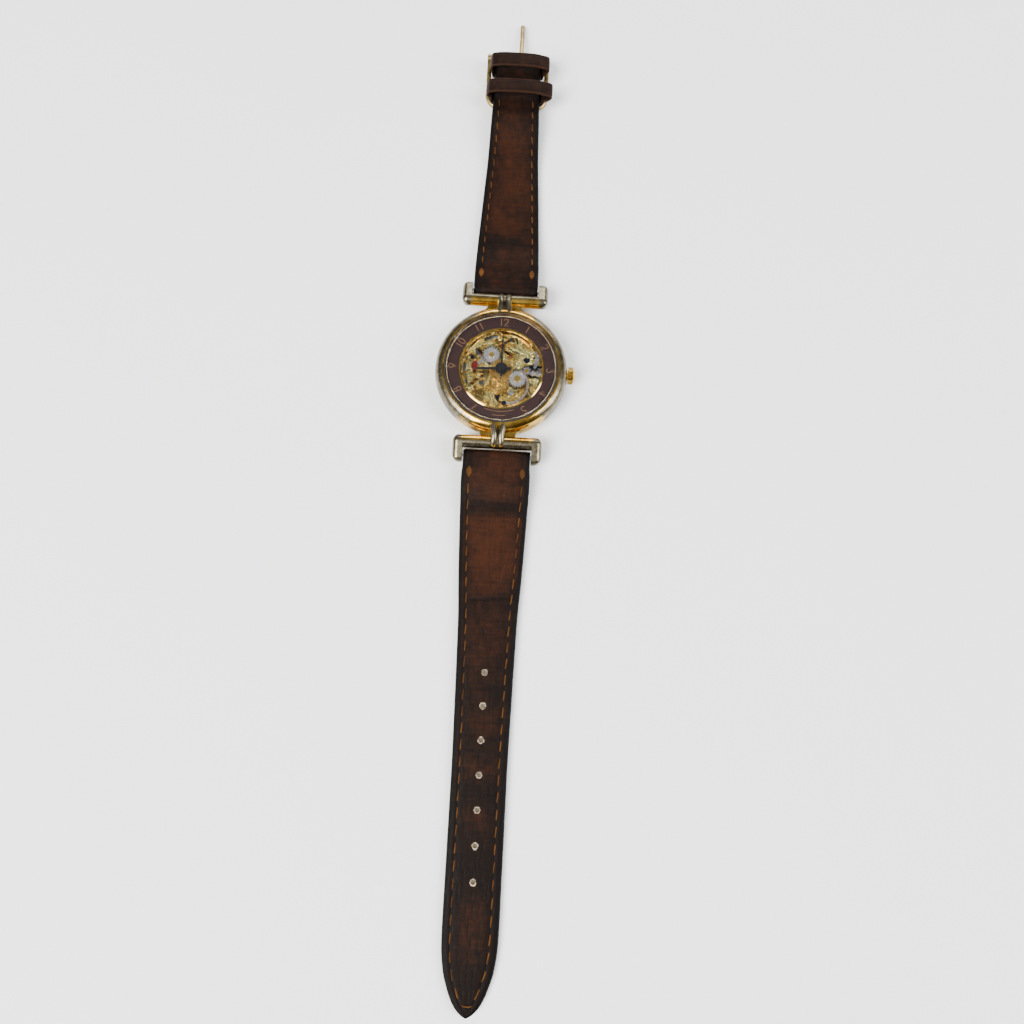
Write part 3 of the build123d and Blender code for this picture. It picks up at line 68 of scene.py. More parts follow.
# ---------------------------------------------------------------- material helpers
class Nodes:
    """Short names for building one procedural material."""

    def __init__(self, name):
        self.material = bpy.data.materials.new(name)
        self.material.use_nodes = True
        self.tree = self.material.node_tree
        self.shader = self.tree.nodes["Principled BSDF"]
        coordinates = self.tree.nodes.new("ShaderNodeTexCoord")
        mapping = self.tree.nodes.new("ShaderNodeMapping")
        mapping.inputs["Scale"].default_value = (1000, 1000, 1000)
        self.link(coordinates.outputs["Object"], mapping.inputs["Vector"])
        self.place = mapping.outputs["Vector"]

    def link(self, output, socket):
        self.tree.links.new(output, socket)

    def put(self, value, socket):
        if isinstance(value, bpy.types.NodeSocket):
            self.link(value, socket)
        else:
            socket.default_value = value

    def set(self, **values):
        for key, value in values.items():
            socket = self.shader.inputs[key.replace("_", " ")]
            self.put(value, socket)

    def math(self, operation, first, second=0.0, clamp=False):
        node = self.tree.nodes.new("ShaderNodeMath")
        node.operation = operation
        node.use_clamp = clamp
        self.put(first, node.inputs[0])
        self.put(second, node.inputs[1])
        return node.outputs[0]

    def stretch(self, scale, place=None):
        node = self.tree.nodes.new("ShaderNodeVectorMath")
        node.operation = "MULTIPLY"
        self.link(place or self.place, node.inputs[0])
        node.inputs[1].default_value = scale
        return node.outputs[0]

    def parts(self, vector=None):
        node = self.tree.nodes.new("ShaderNodeSeparateXYZ")
        self.link(vector or self.place, node.inputs[0])
        return node.outputs

    def length(self, x, y):
        return self.math("SQRT", self.math("ADD", self.math("MULTIPLY", x, x),
                                           self.math("MULTIPLY", y, y)))

    def radius(self):
        x, y = self.parts()[:2]
        return self.length(x, y)

    def waves(self, value, rate):
        """Ridges that follow the level lines of value."""
        return self.math("ABSOLUTE", self.math("SINE", self.math("MULTIPLY", value, rate)))

    def noise(self, scale, detail=3.0, place=None, rough=0.55, distortion=0.0):
        node = self.tree.nodes.new("ShaderNodeTexNoise")
        self.link(place or self.place, node.inputs["Vector"])
        node.inputs["Scale"].default_value = scale
        node.inputs["Detail"].default_value = detail
        node.inputs["Roughness"].default_value = rough
        node.inputs["Distortion"].default_value = distortion
        return node.outputs[0]

    def cells(self, scale, place=None, feature="DISTANCE_TO_EDGE"):
        node = self.tree.nodes.new("ShaderNodeTexVoronoi")
        node.feature = feature
        self.link(place or self.place, node.inputs["Vector"])
        node.inputs["Scale"].default_value = scale
        return node.outputs[0]

    def ramp(self, factor, low, high, first=0.0, second=1.0):
        node = self.tree.nodes.new("ShaderNodeMapRange")
        node.interpolation_type = "SMOOTHSTEP"
        self.put(factor, node.inputs[0])
        node.inputs[1].default_value = low
        node.inputs[2].default_value = high
        node.inputs[3].default_value = first
        node.inputs[4].default_value = second
        return node.outputs[0]

    def blend(self, factor, first, second, kind="RGBA"):
        node = self.tree.nodes.new("ShaderNodeMix")
        node.data_type = kind
        index = {"RGBA": (6, 7, 2), "FLOAT": (2, 3, 0)}[kind]
        self.put(factor, node.inputs[0])
        self.put(first, node.inputs[index[0]])
        self.put(second, node.inputs[index[1]])
        return node.outputs[index[2]]

    def bump(self, height, distance, strength=1.0, before=None):
        node = self.tree.nodes.new("ShaderNodeBump")
        node.inputs["Distance"].default_value = distance
        node.inputs["Strength"].default_value = strength
        self.link(height, node.inputs["Height"])
        if before is not None:
            self.link(before, node.inputs["Normal"])
        return node.outputs[0]

    def attribute(self, name):
        node = self.tree.nodes.new("ShaderNodeAttribute")
        node.attribute_name = name
        return self.parts(node.outputs["Vector"])


def rgb(red, green, blue):
    """sRGB 0-255 to linear with alpha."""
    return tuple(((v / 255 + 0.055) / 1.055) ** 2.4 if v > 10 else v / 255 / 12.92
                 for v in (red, green, blue)) + (1.0,)


GOLD = rgb(214, 176, 84)
PALE_GOLD = rgb(240, 206, 116)
DEEP_GOLD = rgb(160, 120, 44)
WORN = rgb(122, 114, 94)


def metal(name, colour, second, rough, scratch=0.10, grain=1.6, bump=0.004):
    """Metal with cloudy tone changes, fine scratches and a little unevenness."""
    m = Nodes(name)
    cloud = m.noise(0.5, 4.0)
    fine = m.noise(grain, 6.0, m.stretch((1, 9, 1)))
    m.set(Metallic=1.0, Base_Color=m.blend(m.ramp(cloud, 0.35, 0.7), colour, second),
          Roughness=m.ramp(fine, 0.3, 0.75, rough, rough + scratch),
          Normal=m.bump(fine, bump * MM))
    return m.material


def worn_metal(name, wear, rough=0.13):
    """Gold plating rubbed through to grey metal where wear(m) is high."""
    m = Nodes(name)
    patch = m.noise(0.42, 5.0, rough=0.65)
    fine = m.noise(5.0, 5.0, m.stretch((1, 1, 0.35)))
    mask = m.ramp(m.math("ADD", wear(m), m.math("MULTIPLY", m.math("SUBTRACT", patch, 0.5), 1.1)),
                  0.40, 0.62)
    gold = m.blend(m.ramp(m.noise(0.3), 0.35, 0.65), GOLD, DEEP_GOLD)
    grey = m.blend(m.ramp(m.noise(0.8, 5.0), 0.3, 0.7), WORN, rgb(90, 83, 66))
    m.set(Metallic=1.0, Base_Color=m.blend(mask, gold, grey),
          Roughness=m.blend(mask, m.ramp(fine, 0.3, 0.8, rough, rough + 0.1),
                            m.ramp(fine, 0.3, 0.7, 0.24, 0.36), "FLOAT"),
          Normal=m.bump(fine, 0.003 * MM, 0.7))
    return m.material


def bezel_wear(m):
    x, y = m.parts()[:2]
    outer = m.ramp(m.radius(), 13.55, 14.3)
    left = m.ramp(x, 11.0, -13.0, 0.0, 0.2)
    low = m.ramp(y, -9.0, -13.5, 0.0, -0.55)
    high = m.ramp(y, 11.5, 14.0, 0.0, -0.5)
    return m.math("ADD", m.math("ADD", m.math("MULTIPLY", outer, 0.78), high),
                  m.math("ADD", left, low))


def bar_wear(m):
    x, y = m.parts()[:2]
    ends = m.ramp(m.math("ABSOLUTE", x), 7.2, 9.2)
    outward = m.ramp(m.math("ABSOLUTE", y), 17.3, 18.2)
    return m.math("MAXIMUM", ends, m.math("MULTIPLY", outward, 0.85))


def link_wear(m):
    place = m.parts()
    return m.math("MULTIPLY", m.ramp(place[2], 5.0, 6.4, 0.0, 1.0),
                  m.ramp(m.math("ABSOLUTE", place[0]), 1.7, 2.1, 0.9, 0.1))


worn_bezel = worn_metal("worn_bezel", bezel_wear)
worn_bars = worn_metal("worn_bars", bar_wear, 0.16)
worn_links = worn_metal("worn_links", link_wear, 0.14)
polished_gold = metal("polished_gold", PALE_GOLD, GOLD, 0.09, 0.08)
rehaut_gold = metal("rehaut_gold", rgb(120, 88, 40), rgb(80, 56, 24), 0.3, 0.15)
bead_silver = metal("bead_silver", rgb(244, 236, 214), rgb(226, 206, 160), 0.12, 0.1)
crown_gold = metal("crown_gold", GOLD, DEEP_GOLD, 0.15, 0.12)
dull_brass = metal("dull_brass", rgb(172, 150, 100), rgb(120, 100, 62), 0.26, 0.18)
case_steel = metal("case_steel", rgb(170, 168, 162), rgb(128, 126, 120), 0.2, 0.2, bump=0.006)
bright_steel = metal("bright_steel", rgb(214, 212, 214), rgb(176, 172, 176), 0.18, 0.14)
blued_steel = metal("blued_steel", rgb(58, 66, 92), rgb(34, 38, 56), 0.16, 0.12)
pink_steel = metal("pink_steel", rgb(236, 214, 200), rgb(200, 176, 160), 0.2, 0.12)


def circular_steel(name, centre, colour, second, hub_radius=0.0, hub=None):
    """Wheel with fine rings turned round its own centre."""
    m = Nodes(name)
    moved = m.tree.nodes.new("ShaderNodeVectorMath")
    moved.operation = "SUBTRACT"
    m.link(m.place, moved.inputs[0])
    moved.inputs[1].default_value = (centre[0], centre[1], 0)
    x, y = m.parts(moved.outputs[0])[:2]
    reach = m.length(x, y)
    rings = m.math("SINE", m.math("MULTIPLY", reach, 46.0))
    cloud = m.noise(0.9, 4.0)
    colour = m.blend(m.ramp(cloud, 0.35, 0.65), colour, second)
    if hub:
        colour = m.blend(m.ramp(reach, hub_radius - 0.04, hub_radius + 0.04), hub, colour)
    m.set(Metallic=1.0, Base_Color=colour, Roughness=m.ramp(cloud, 0.3, 0.7, 0.2, 0.32),
          Normal=m.bump(rings, 0.004 * MM))
    return m.material


HUB_RADIUS, HUB_GOLD = 0.62, rgb(224, 184, 96)
escape_steel = circular_steel("escape_steel", ESCAPE, rgb(250, 248, 244), rgb(222, 218, 214),
                              HUB_RADIUS, HUB_GOLD)
setting_steel = circular_steel("setting_steel", SETTING, rgb(248, 246, 242), rgb(216, 212, 208),
                               HUB_RADIUS, HUB_GOLD)
wheel_brass = metal("wheel_brass", rgb(228, 190, 108), rgb(180, 136, 62), 0.2, 0.14, 2.6)


def engraved(name, first, second, dark, painted_wheel_shade=()):
    """Gilt plate cut with scroll engraving, with painted shade in random patches and in the
    recesses under the wheels.
    """
    m = Nodes(name)
    x, y = m.parts()[:2]
    scroll = m.ramp(m.waves(m.noise(0.30, 0.0, distortion=1.2), 24.0), 0.05, 0.50, 1.0, 0.0)
    leaf = m.ramp(m.waves(m.noise(0.6, 0.0, distortion=1.0), 17.0), 0.05, 0.50, 1.0, 0.0)
    dots = m.ramp(m.cells(1.9, feature="F1"), 0.16, 0.26, 1.0, 0.0)
    ground = m.ramp(m.noise(0.45, 1.0), 0.47, 0.53)
    carve = m.math("MAXIMUM", m.math("MULTIPLY", scroll, ground),
                   m.math("MULTIPLY", m.math("MAXIMUM", leaf, m.math("MULTIPLY", dots, 0.8)),
                          m.math("SUBTRACT", 1.0, ground)))
    plate = m.blend(m.ramp(m.noise(0.35, 4.0), 0.40, 0.60), first, second)
    # painted shade: dark patches that stand in for depth seen between the parts
    shade = m.ramp(m.noise(0.27, 2.0, rough=0.7), 0.53, 0.60, 0.0, 0.62)
    # painted shade round each wheel, darkest next to it, standing in for its shadow on the plate
    for centre_x, centre_y, reach in painted_wheel_shade:
        away = m.length(m.math("SUBTRACT", x, centre_x), m.math("SUBTRACT", y, centre_y))
        shade = m.math("MAXIMUM", shade, m.ramp(away, reach, reach + 0.5, 0.9, 0.0))
    tone = m.math("MAXIMUM", m.math("MULTIPLY", carve, 0.9), shade)
    fine = m.noise(3.0, 3.0, m.stretch((1, 6, 1)))
    height = m.math("SUBTRACT", m.math("MULTIPLY", fine, 0.15), carve)
    m.set(Metallic=1.0, Base_Color=m.blend(tone, plate, dark),
          Roughness=m.ramp(fine, 0.3, 0.7, 0.14, 0.26), Normal=m.bump(height, 0.09 * MM, 0.9))
    return m.material


# the last argument places painted shade round the escape, setting and small setting wheels
plate_gold = engraved("plate_gold", rgb(255, 240, 156), rgb(250, 206, 100), rgb(52, 32, 12),
                      ((*ESCAPE, 2.2), (*SETTING, 2.4), (*SMALL_SETTING, 1.2)))
bridge_gold = engraved("bridge_gold", rgb(196, 146, 66), rgb(120, 84, 36), rgb(40, 25, 10))


def dial_material():
    """Dark brown enamel with a faint sunray sheen and specks of dust."""
    m = Nodes("chapter_enamel")
    x, y = m.parts()[:2]
    angle = m.math("ARCTAN2", y, x)
    node = m.tree.nodes.new("ShaderNodeCombineXYZ")
    m.link(m.math("MULTIPLY", angle, 20.0), node.inputs[0])
    rays = m.noise(2.2, 3.0, node.outputs[0])
    colour = m.blend(m.ramp(rays, 0.3, 0.7), rgb(32, 16, 14), rgb(42, 22, 20))
    colour = m.blend(m.ramp(m.noise(6.0, 2.0), 0.70, 0.80, 0.0, 0.25), colour, rgb(120, 90, 80))
    m.set(Metallic=0.1, Base_Color=colour, Roughness=m.ramp(rays, 0.3, 0.7, 0.40, 0.52),
          Specular_IOR_Level=0.3, Normal=m.bump(rays, 0.004 * MM))
    return m.material


def painted_black():
    m = Nodes("hand_black")
    fine = m.noise(4.0, 4.0)
    m.set(Base_Color=m.blend(fine, rgb(10, 9, 10), rgb(26, 24, 27)),
          Roughness=m.ramp(fine, 0.3, 0.7, 0.30, 0.42), Specular_IOR_Level=0.3,
          Normal=m.bump(fine, 0.003 * MM))
    return m.material


def ruby_material():
    m = Nodes("ruby")
    cloud = m.noise(1.4, 3.0)
    m.set(Base_Color=m.blend(cloud, rgb(96, 24, 12), rgb(56, 8, 10)),
          Roughness=m.ramp(cloud, 0.3, 0.7, 0.12, 0.2), Specular_IOR_Level=0.5)
    return m.material


def rubber_material():
    m = Nodes("seal_rubber")
    fine = m.noise(6.0, 5.0)
    m.set(Base_Color=m.blend(fine, rgb(16, 16, 16), rgb(32, 31, 30)), Roughness=0.7,
          Normal=m.bump(fine, 0.006 * MM))
    return m.material


def glass_material(name):
    """Clear glass: seen through, and mirroring more towards grazing angles."""
    m = Nodes(name)
    fresnel = m.tree.nodes.new("ShaderNodeFresnel")
    fresnel.inputs["IOR"].default_value = 1.45
    smear = m.noise(0.35, 4.0)
    scuff = m.ramp(m.noise(3.0, 6.0, m.stretch((1, 5, 1))), 0.68, 0.76, 0.0, 0.02)
    m.set(Metallic=1.0, Base_Color=rgb(245, 246, 248),
          Roughness=m.ramp(smear, 0.4, 0.8, 0.02, 0.07),
          Alpha=m.math("ADD", m.math("MULTIPLY", fresnel.outputs[0], 0.42), scuff))
    return m.material


def leather(name, worn, dark, edge, lining, core):
    """Leather whose tone follows the mesh's painted wear, edge and crease values."""
    m = Nodes(name)
    wear, rim, crease = m.attribute("tone")
    under, bore = m.attribute("side")[:2]
    patch = m.noise(0.16, 5.0, rough=0.6)
    streak = m.noise(0.9, 5.0, m.stretch((1, 0.35, 1)))
    cross = m.noise(1.1, 5.0, m.stretch((0.3, 1.6, 1)))
    pores = m.cells(2.6, m.stretch((1, 0.8, 1)))
    grain = m.noise(3.2, 6.0)
    amount = m.math("ADD", wear, m.math("MULTIPLY", m.math("SUBTRACT", patch, 0.5), 0.9))
    amount = m.math("ADD", amount, m.math("MULTIPLY", m.math("SUBTRACT", streak, 0.5), 0.7))
    amount = m.math("ADD", amount, m.math("MULTIPLY", m.math("SUBTRACT", cross, 0.5), 0.7))
    amount = m.math("ADD", amount, m.ramp(m.parts()[1], -75.0, -118.0, 0.0, -0.42))
    colour = m.blend(m.ramp(amount, 0.0, 1.0), dark, worn)
    colour = m.blend(m.math("MULTIPLY", m.ramp(grain, 0.35, 0.7, 1.0, 0.0), 0.35), colour, edge)
    colour = m.blend(m.math("MULTIPLY", crease, 0.8), colour, edge)
    colour = m.blend(rim, colour, edge)
    colour = m.blend(m.ramp(under, 0.4, 0.6), colour, lining)
    colour = m.blend(m.ramp(bore, 0.3, 0.7), colour, core)
    height = m.math("ADD", m.math("MULTIPLY", m.ramp(pores, 0.0, 0.12), 0.5),
                    m.math("MULTIPLY", grain, 0.7))
    height = m.math("ADD", height, m.math("MULTIPLY", cross, 0.6))
    m.set(Base_Color=colour, Roughness=m.ramp(grain, 0.3, 0.75, 0.42, 0.62),
          Specular_IOR_Level=0.07, Normal=m.bump(height, 0.06 * MM, 0.9))
    return m.material


def thread_material():
    m = Nodes("stitch_thread")
    x, y, z = m.parts()
    twist = m.math("SINE", m.math("MULTIPLY", m.math("ADD", m.math("ADD", x, y),
                                                     m.math("MULTIPLY", z, 0.8)), 26.0))
    tone = m.noise(0.4, 4.0)
    dirt = m.noise(0.09, 2.0)
    colour = m.blend(m.ramp(tone, 0.3, 0.7), rgb(92, 58, 24), rgb(62, 38, 16))
    colour = m.blend(m.ramp(dirt, 0.45, 0.7, 0.0, 0.6), colour, rgb(44, 27, 15))
    m.set(Base_Color=colour, Roughness=0.8, Specular_IOR_Level=0.1,
          Normal=m.bump(twist, 0.03 * MM, 0.8))
    return m.material


def print_material():
    m = Nodes("numeral_gold")
    tone = m.noise(1.5, 3.0)
    m.set(Base_Color=m.blend(tone, rgb(150, 114, 78), rgb(118, 86, 60)), Metallic=0.4,
          Roughness=0.4, Normal=m.bump(tone, 0.004 * MM))
    return m.material


def paint(node, material):
    obj = NODES[node]
    obj.data.materials.clear()
    obj.data.materials.append(material)


glass = glass_material("crystal_glass")
black = painted_black()
ruby = ruby_material()
for node, material in {
        "mid_case": worn_bezel, "bezel": worn_bezel, "crystal": glass, "gaskets": rubber_material(),
        "case_back": case_steel, "back_glass": glass, "movement_ring": bridge_gold,
        "lug_bar_12": worn_bars, "lug_bar_6": worn_bars, "lug_links": worn_links,
        "spring_bars": bright_steel, "chapter_ring": dial_material(), "inner_ring": polished_gold,
        "rehaut_ring": rehaut_gold, "wheel_studs": polished_gold, "main_plate": plate_gold,
        "barrel_bridge": bridge_gold, "train_bridge": bridge_gold, "balance_cock": bridge_gold,
        "pallet_bridge": bridge_gold, "jewels": ruby, "movement_screws": blued_steel,
        "crown_tube": crown_gold, "click_spring": bright_steel, "setting_jumper": pink_steel,
        "hairspring": blued_steel, "winding_pinion": bright_steel, "crown": crown_gold,
        "winding_stem": bright_steel, "sliding_pinion": bright_steel,
        "crown_wheel": wheel_brass, "barrel_arbor": bright_steel, "ratchet_wheel": wheel_brass,
        "click": bright_steel, "setting_lever": bright_steel, "yoke": bright_steel,
        "minute_hand": black, "cannon_pinion": black, "hour_hand": black,
        "hour_wheel": wheel_brass, "minute_wheel": wheel_brass, "setting_wheel": setting_steel,
        "small_setting_wheel": bright_steel, "barrel": wheel_brass, "mainspring": bright_steel,
        "centre_wheel": wheel_brass, "third_wheel": wheel_brass, "fourth_wheel": wheel_brass,
        "escape_wheel": escape_steel, "pallet_fork": bright_steel, "pallet_stones": ruby,
        "balance_wheel": wheel_brass, "roller_jewel": ruby, "buckle_frame": dull_brass,
        "buckle_pin": dull_brass, "buckle_prong": dull_brass}.items():
    paint(node, material)


# ---------------------------------------------------------------- mesh helpers
def new_object(name, points, faces, material):
    """Mesh object from points in millimetres."""
    mesh = bpy.data.meshes.new(name)
    mesh.from_pydata([tuple(v * MM for v in p) for p in points], [], faces)
    mesh.materials.append(material)
    obj = bpy.data.objects.new(name, mesh)
    bpy.context.collection.objects.link(obj)
    build = bmesh.new()
    build.from_mesh(mesh)
    bmesh.ops.remove_doubles(build, verts=build.verts, dist=1e-7)
    bmesh.ops.recalc_face_normals(build, faces=build.faces)
    build.to_mesh(mesh)
    build.free()
    mesh.shade_smooth()
    return obj


def smooth_table(rows):
    """Smooth curve through (position, value) rows, flat at both ends, without overshoot."""
    rows = np.array(sorted(rows), float)
    x, v = rows[:, 0], rows[:, 1]
    slope = np.diff(v) / np.diff(x)
    tangent = np.zeros(len(x))
    for i in range(1, len(x) - 1):
        if slope[i - 1] * slope[i] > 0:
            tangent[i] = 2 * slope[i - 1] * slope[i] / (slope[i - 1] + slope[i])

    def value(at):
        at = np.clip(at, x[0], x[-1])
        i = np.clip(np.searchsorted(x, at) - 1, 0, len(x) - 2)
        h = x[i + 1] - x[i]
        t = (at - x[i]) / h
        return ((1 + 2 * t) * (1 - t) ** 2 * v[i] + t * (1 - t) ** 2 * h * tangent[i]
                + t * t * (3 - 2 * t) * v[i + 1] + t * t * (t - 1) * h * tangent[i + 1])
    return value


def rod_cutter(centre, direction, radius, length, sides=32):
    direction = Vector(direction)
    turned = direction.to_track_quat("Z", "Y").to_matrix().to_4x4()
    build = bmesh.new()
    bmesh.ops.create_cone(build, cap_ends=True, segments=sides, radius1=radius * MM,
                          radius2=radius * MM, depth=length * MM,
                          matrix=Matrix.Translation(Vector(centre) * MM) @ turned)
    return build


def box_cutter(low, high):
    build = bmesh.new()
    bmesh.ops.create_cube(build, size=1.0)
    for vert in build.verts:
        vert.co = Vector([(low[i] + (vert.co[i] + 0.5) * (high[i] - low[i])) * MM
                          for i in range(3)])
    return build


def cut(obj, cutters):
    """Takes every cutter out of obj and keeps the result as its mesh."""
    for number, build in enumerate(cutters):
        mesh = bpy.data.meshes.new(f"cutter_{number}")
        build.to_mesh(mesh)
        build.free()
        tool = bpy.data.objects.new(f"cutter_{number}", mesh)
        bpy.context.collection.objects.link(tool)
        modifier = obj.modifiers.new("cut", "BOOLEAN")
        modifier.operation = "DIFFERENCE"
        modifier.solver = "EXACT"
        modifier.object = tool
        graph = bpy.context.evaluated_depsgraph_get()
        result = bpy.data.meshes.new_from_object(obj.evaluated_get(graph))
        obj.modifiers.clear()
        obj.data = result
        bpy.data.objects.remove(tool)
    obj.data.shade_smooth()


def join_parts(parts):
    """One list of points and faces from several."""
    points, faces = [], []
    for own_points, own_faces in parts:
        start = len(points)
        points.extend(own_points)
        faces.extend([tuple(start + i for i in face) for face in own_faces])
    return points, faces


def loft(rings, caps=True):
    """Faces between rings of equal length."""
    count = len(rings[0])
    points = [p for ring in rings for p in ring]
    faces = []
    for r in range(len(rings) - 1):
        for i in range(count):
            j = (i + 1) % count
            faces.append((r * count + i, r * count + j, (r + 1) * count + j, (r + 1) * count + i))
    if caps:
        faces.append(tuple(range(count))[::-1])
        faces.append(tuple(range((len(rings) - 1) * count, len(rings) * count)))
    return points, faces


# ---------------------------------------------------------------- leather strap
STITCH_RINGS = 9


class Strap:
    """A padded strap half lying along Y, given by its tables of width, top and bottom."""

    def __init__(self, side, inset, width, top, bottom, nose, tip, creases, tone, holes=(),
                 spacing=0.36):
        self.side = side
        self.inset = inset
        self.width = smooth_table(width)
        self.top = smooth_table(top)
        self.bottom = smooth_table(bottom)
        self.nose = nose
        self.tip = tip
        self.creases = creases
        self.tone = smooth_table(tone)
        self.spacing = spacing
        self.holes = holes
        seeds = np.random.default_rng(11 + side)
        self.bands = [STRAP_START]
        while self.bands[-1] < 141:
            self.bands.append(self.bands[-1] + seeds.uniform(2.4, 4.4))
        self.bands = np.array(self.bands)
        self.splits = seeds.uniform(-1.0, 1.0, (len(self.bands), 5)) * 0.12

    def levels(self, y):
        """Top and bottom, closed to a round nose at the bar end and at the buckle end."""
        top, bottom = self.top(y), self.bottom(y)
        for centre, height, radius, way in self.nose:
            past = (y - centre) * way
            if past > 0:
                reach = math.sqrt(max(radius * radius - past * past, 0.0))
                top, bottom = height + reach, height - reach
        return top, bottom

    def crease_depth(self, x, y):
        depth = 0.0
        for at, amount, tilt, start, stop in self.creases:
            line = at + tilt * x + 0.10 * math.sin(x * 0.8 + at)
            if start <= x <= stop:
                fade = 0.45 + 0.55 * math.sin(x * 0.55 + at * 1.3) ** 2
                depth += amount * fade * math.exp(-((y - line) / 0.17) ** 2)
        return depth

    def scale_depth(self, x, y, half):
        band = int(np.clip(np.searchsorted(self.bands, y) - 1, 0, len(self.bands) - 2))
        wave = 0.25 * math.sin(x * 0.9 + band)
        gap = min(abs(y + wave - self.bands[band]), abs(self.bands[band + 1] - y - wave))
        depth = 0.05 * math.exp(-(gap / 0.22) ** 2)
        for number in range(5):
            line = (-0.62 + 0.31 * number + self.splits[band][number]) * half
            depth += 0.045 * math.exp(-((x - line) / 0.2) ** 2)
        return depth

    def surface(self, x, y):
        """Height of the worn, padded top at x, y (y is the distance from the head)."""
        half = self.width(y)
        top, bottom = self.levels(y)
        thick = min(1.0, max(top - bottom, 0.0) / 1.6)
        inset = half - abs(x)
        crown = 0.34 * (abs(x) / max(half, 0.1)) ** 3
        groove = 0.13 * math.exp(-((inset - self.inset) / 0.30) ** 2)
        shoulder = 0.30 * max(0.0, 1 - inset / 1.05) ** 2.2
        inside = 1.0 if inset > self.inset + 0.3 else 0.25
        emboss = inside * (self.scale_depth(x, y, half) + self.crease_depth(x, y))
        return top - thick * (crown + groove + shoulder + emboss)

    def build(self):
        """Points and faces of the whole strap half, before its holes are cut."""
        start, stop = self.tip
        rows = list(np.arange(start + 0.9, stop - 0.9, self.spacing))
        lead = [start + 0.9 * (1 - math.cos(a)) for a in np.linspace(0.02, math.pi / 2, 9)[:-1]]
        tail = [stop - 0.9 * (1 - math.cos(a)) for a in np.linspace(math.pi / 2, 0.02, 9)[1:]]
        rings = []
        for y in lead + rows + tail:
            half = max(float(self.width(y)), 0.02)
            top, bottom = self.levels(y)
            thick = max(top - bottom, 0.01)
            round_edge = min(0.55, thick * 0.4, half * 0.4)
            ring = []
            for u in np.linspace(-1, 1, 61):
                x = u * (half - round_edge * 0.35)
                ring.append((x, y, max(self.surface(x, y), bottom + thick * 0.3)))
            edge_top = ring[-1][2]
            for a in (0.33, 0.66, 1.0):
                ring.append((half - 0.35 * round_edge * (1 - a), y,
                             edge_top - a * 0.45 * (edge_top - bottom)))
            ring.append((half, y, bottom + round_edge * 0.5))
            ring.append((half - round_edge * 0.3, y, bottom + round_edge * 0.12))
            for u in np.linspace(1, -1, 25):
                ring.append((u * (half - round_edge * 0.8), y, bottom))
            ring.append((-half + round_edge * 0.3, y, bottom + round_edge * 0.12))
            ring.append((-half, y, bottom + round_edge * 0.5))
            for a in (1.0, 0.66, 0.33):
                ring.append((-half + 0.35 * round_edge * (1 - a), y,
                             edge_top - a * 0.45 * (edge_top - bottom)))
            rings.append([(x, self.side * y0, z) for x, y0, z in ring])
        return loft(rings)

    def paint_tone(self, obj):
        """Stores wear, dark edge and crease strength on every point of the finished mesh."""
        mesh = obj.data
        tone = mesh.attributes.new("tone", "FLOAT_VECTOR", "POINT")
        side = mesh.attributes.new("side", "FLOAT_VECTOR", "POINT")
        values, sides = [], []
        for vertex in mesh.vertices:
            x, y, z = (v / MM for v in vertex.co)
            y = abs(y)
            half = float(self.width(y))
            top, bottom = self.levels(y)
            inset = half - abs(x)
            centre = max(0.0, 1 - (abs(x) / max(half, 0.1)) ** 2 * 0.75)
            wear = float(self.tone(y)) * centre
            rim = min(1.0, max(0.0, (1.25 - inset) / 0.55))
            rim = max(rim, 0.45 * math.exp(-((inset - self.inset) / 0.42) ** 2))
            crease = min(1.0, self.crease_depth(x, y) * 6 + self.scale_depth(x, y, half) * 4)
            below = 1.0 if z < bottom + 0.22 * (top - bottom) and top - bottom > 0.5 else 0.0
            values.extend((wear, rim, crease if inset > self.inset + 0.3 else 0.0))
            bore = 0.0
            if self.holes and abs(x) < HOLE_RADIUS + 0.01:
                nearest = min(math.hypot(x, y - hole) for hole in self.holes)
                bore = 1.0 if nearest < HOLE_RADIUS + 0.005 else 0.0
            sides.extend((below, bore, 0.0))
        tone.data.foreach_set("vector", values)
        side.data.foreach_set("vector", sides)

    def stitches(self, start, stop, pitch, length, radius, inset, tip=False):
        """Thread stitches along both edges, each dipping into the leather at its ends."""
        path = []
        for side in (-1, 1):
            line = [(side * (float(self.width(y)) - inset), y) for y in
                    np.arange(start, stop, 0.2)]
            path.append(line)
        if tip:
            joined = path[0] + tip_points(self, stop, inset) + path[1][::-1]
            path = [joined]
        parts = []
        for line in path:
            line = np.array(line)
            gaps = np.hypot(*np.diff(line, axis=0).T)
            along = np.concatenate([[0], np.cumsum(gaps)])
            count = int(along[-1] / pitch)
            step = along[-1] / count
            for n in range(count):
                rings = []
                middle = (n + 0.5) * step
                lean = 0.10 * (1 if n % 2 else 0.6)
                for k in range(STITCH_RINGS):
                    t = k / (STITCH_RINGS - 1) * 2 - 1
                    s = middle + t * length / 2
                    px, py = (np.interp(s, along, line[:, i]) for i in (0, 1))
                    qx, qy = (np.interp(s + 0.05, along, line[:, i])
                              - np.interp(s - 0.05, along, line[:, i]) for i in (0, 1))
                    size = math.hypot(qx, qy) or 1
                    nx, ny = -qy / size, qx / size
                    px += nx * lean * t
                    py += ny * lean * t
                    z = self.surface(px, py) + 0.09 - 0.30 * t ** 6
                    reach = radius * (1 - 0.65 * abs(t) ** 5)
                    rings.append([(px + nx * reach * math.cos(a),
                                   self.side * (py + ny * reach * math.cos(a)),
                                   z + reach * 0.75 * math.sin(a))
                                  for a in np.linspace(0, 2 * math.pi, 9)[:-1]])
                parts.append(loft(rings))
        return join_parts(parts)


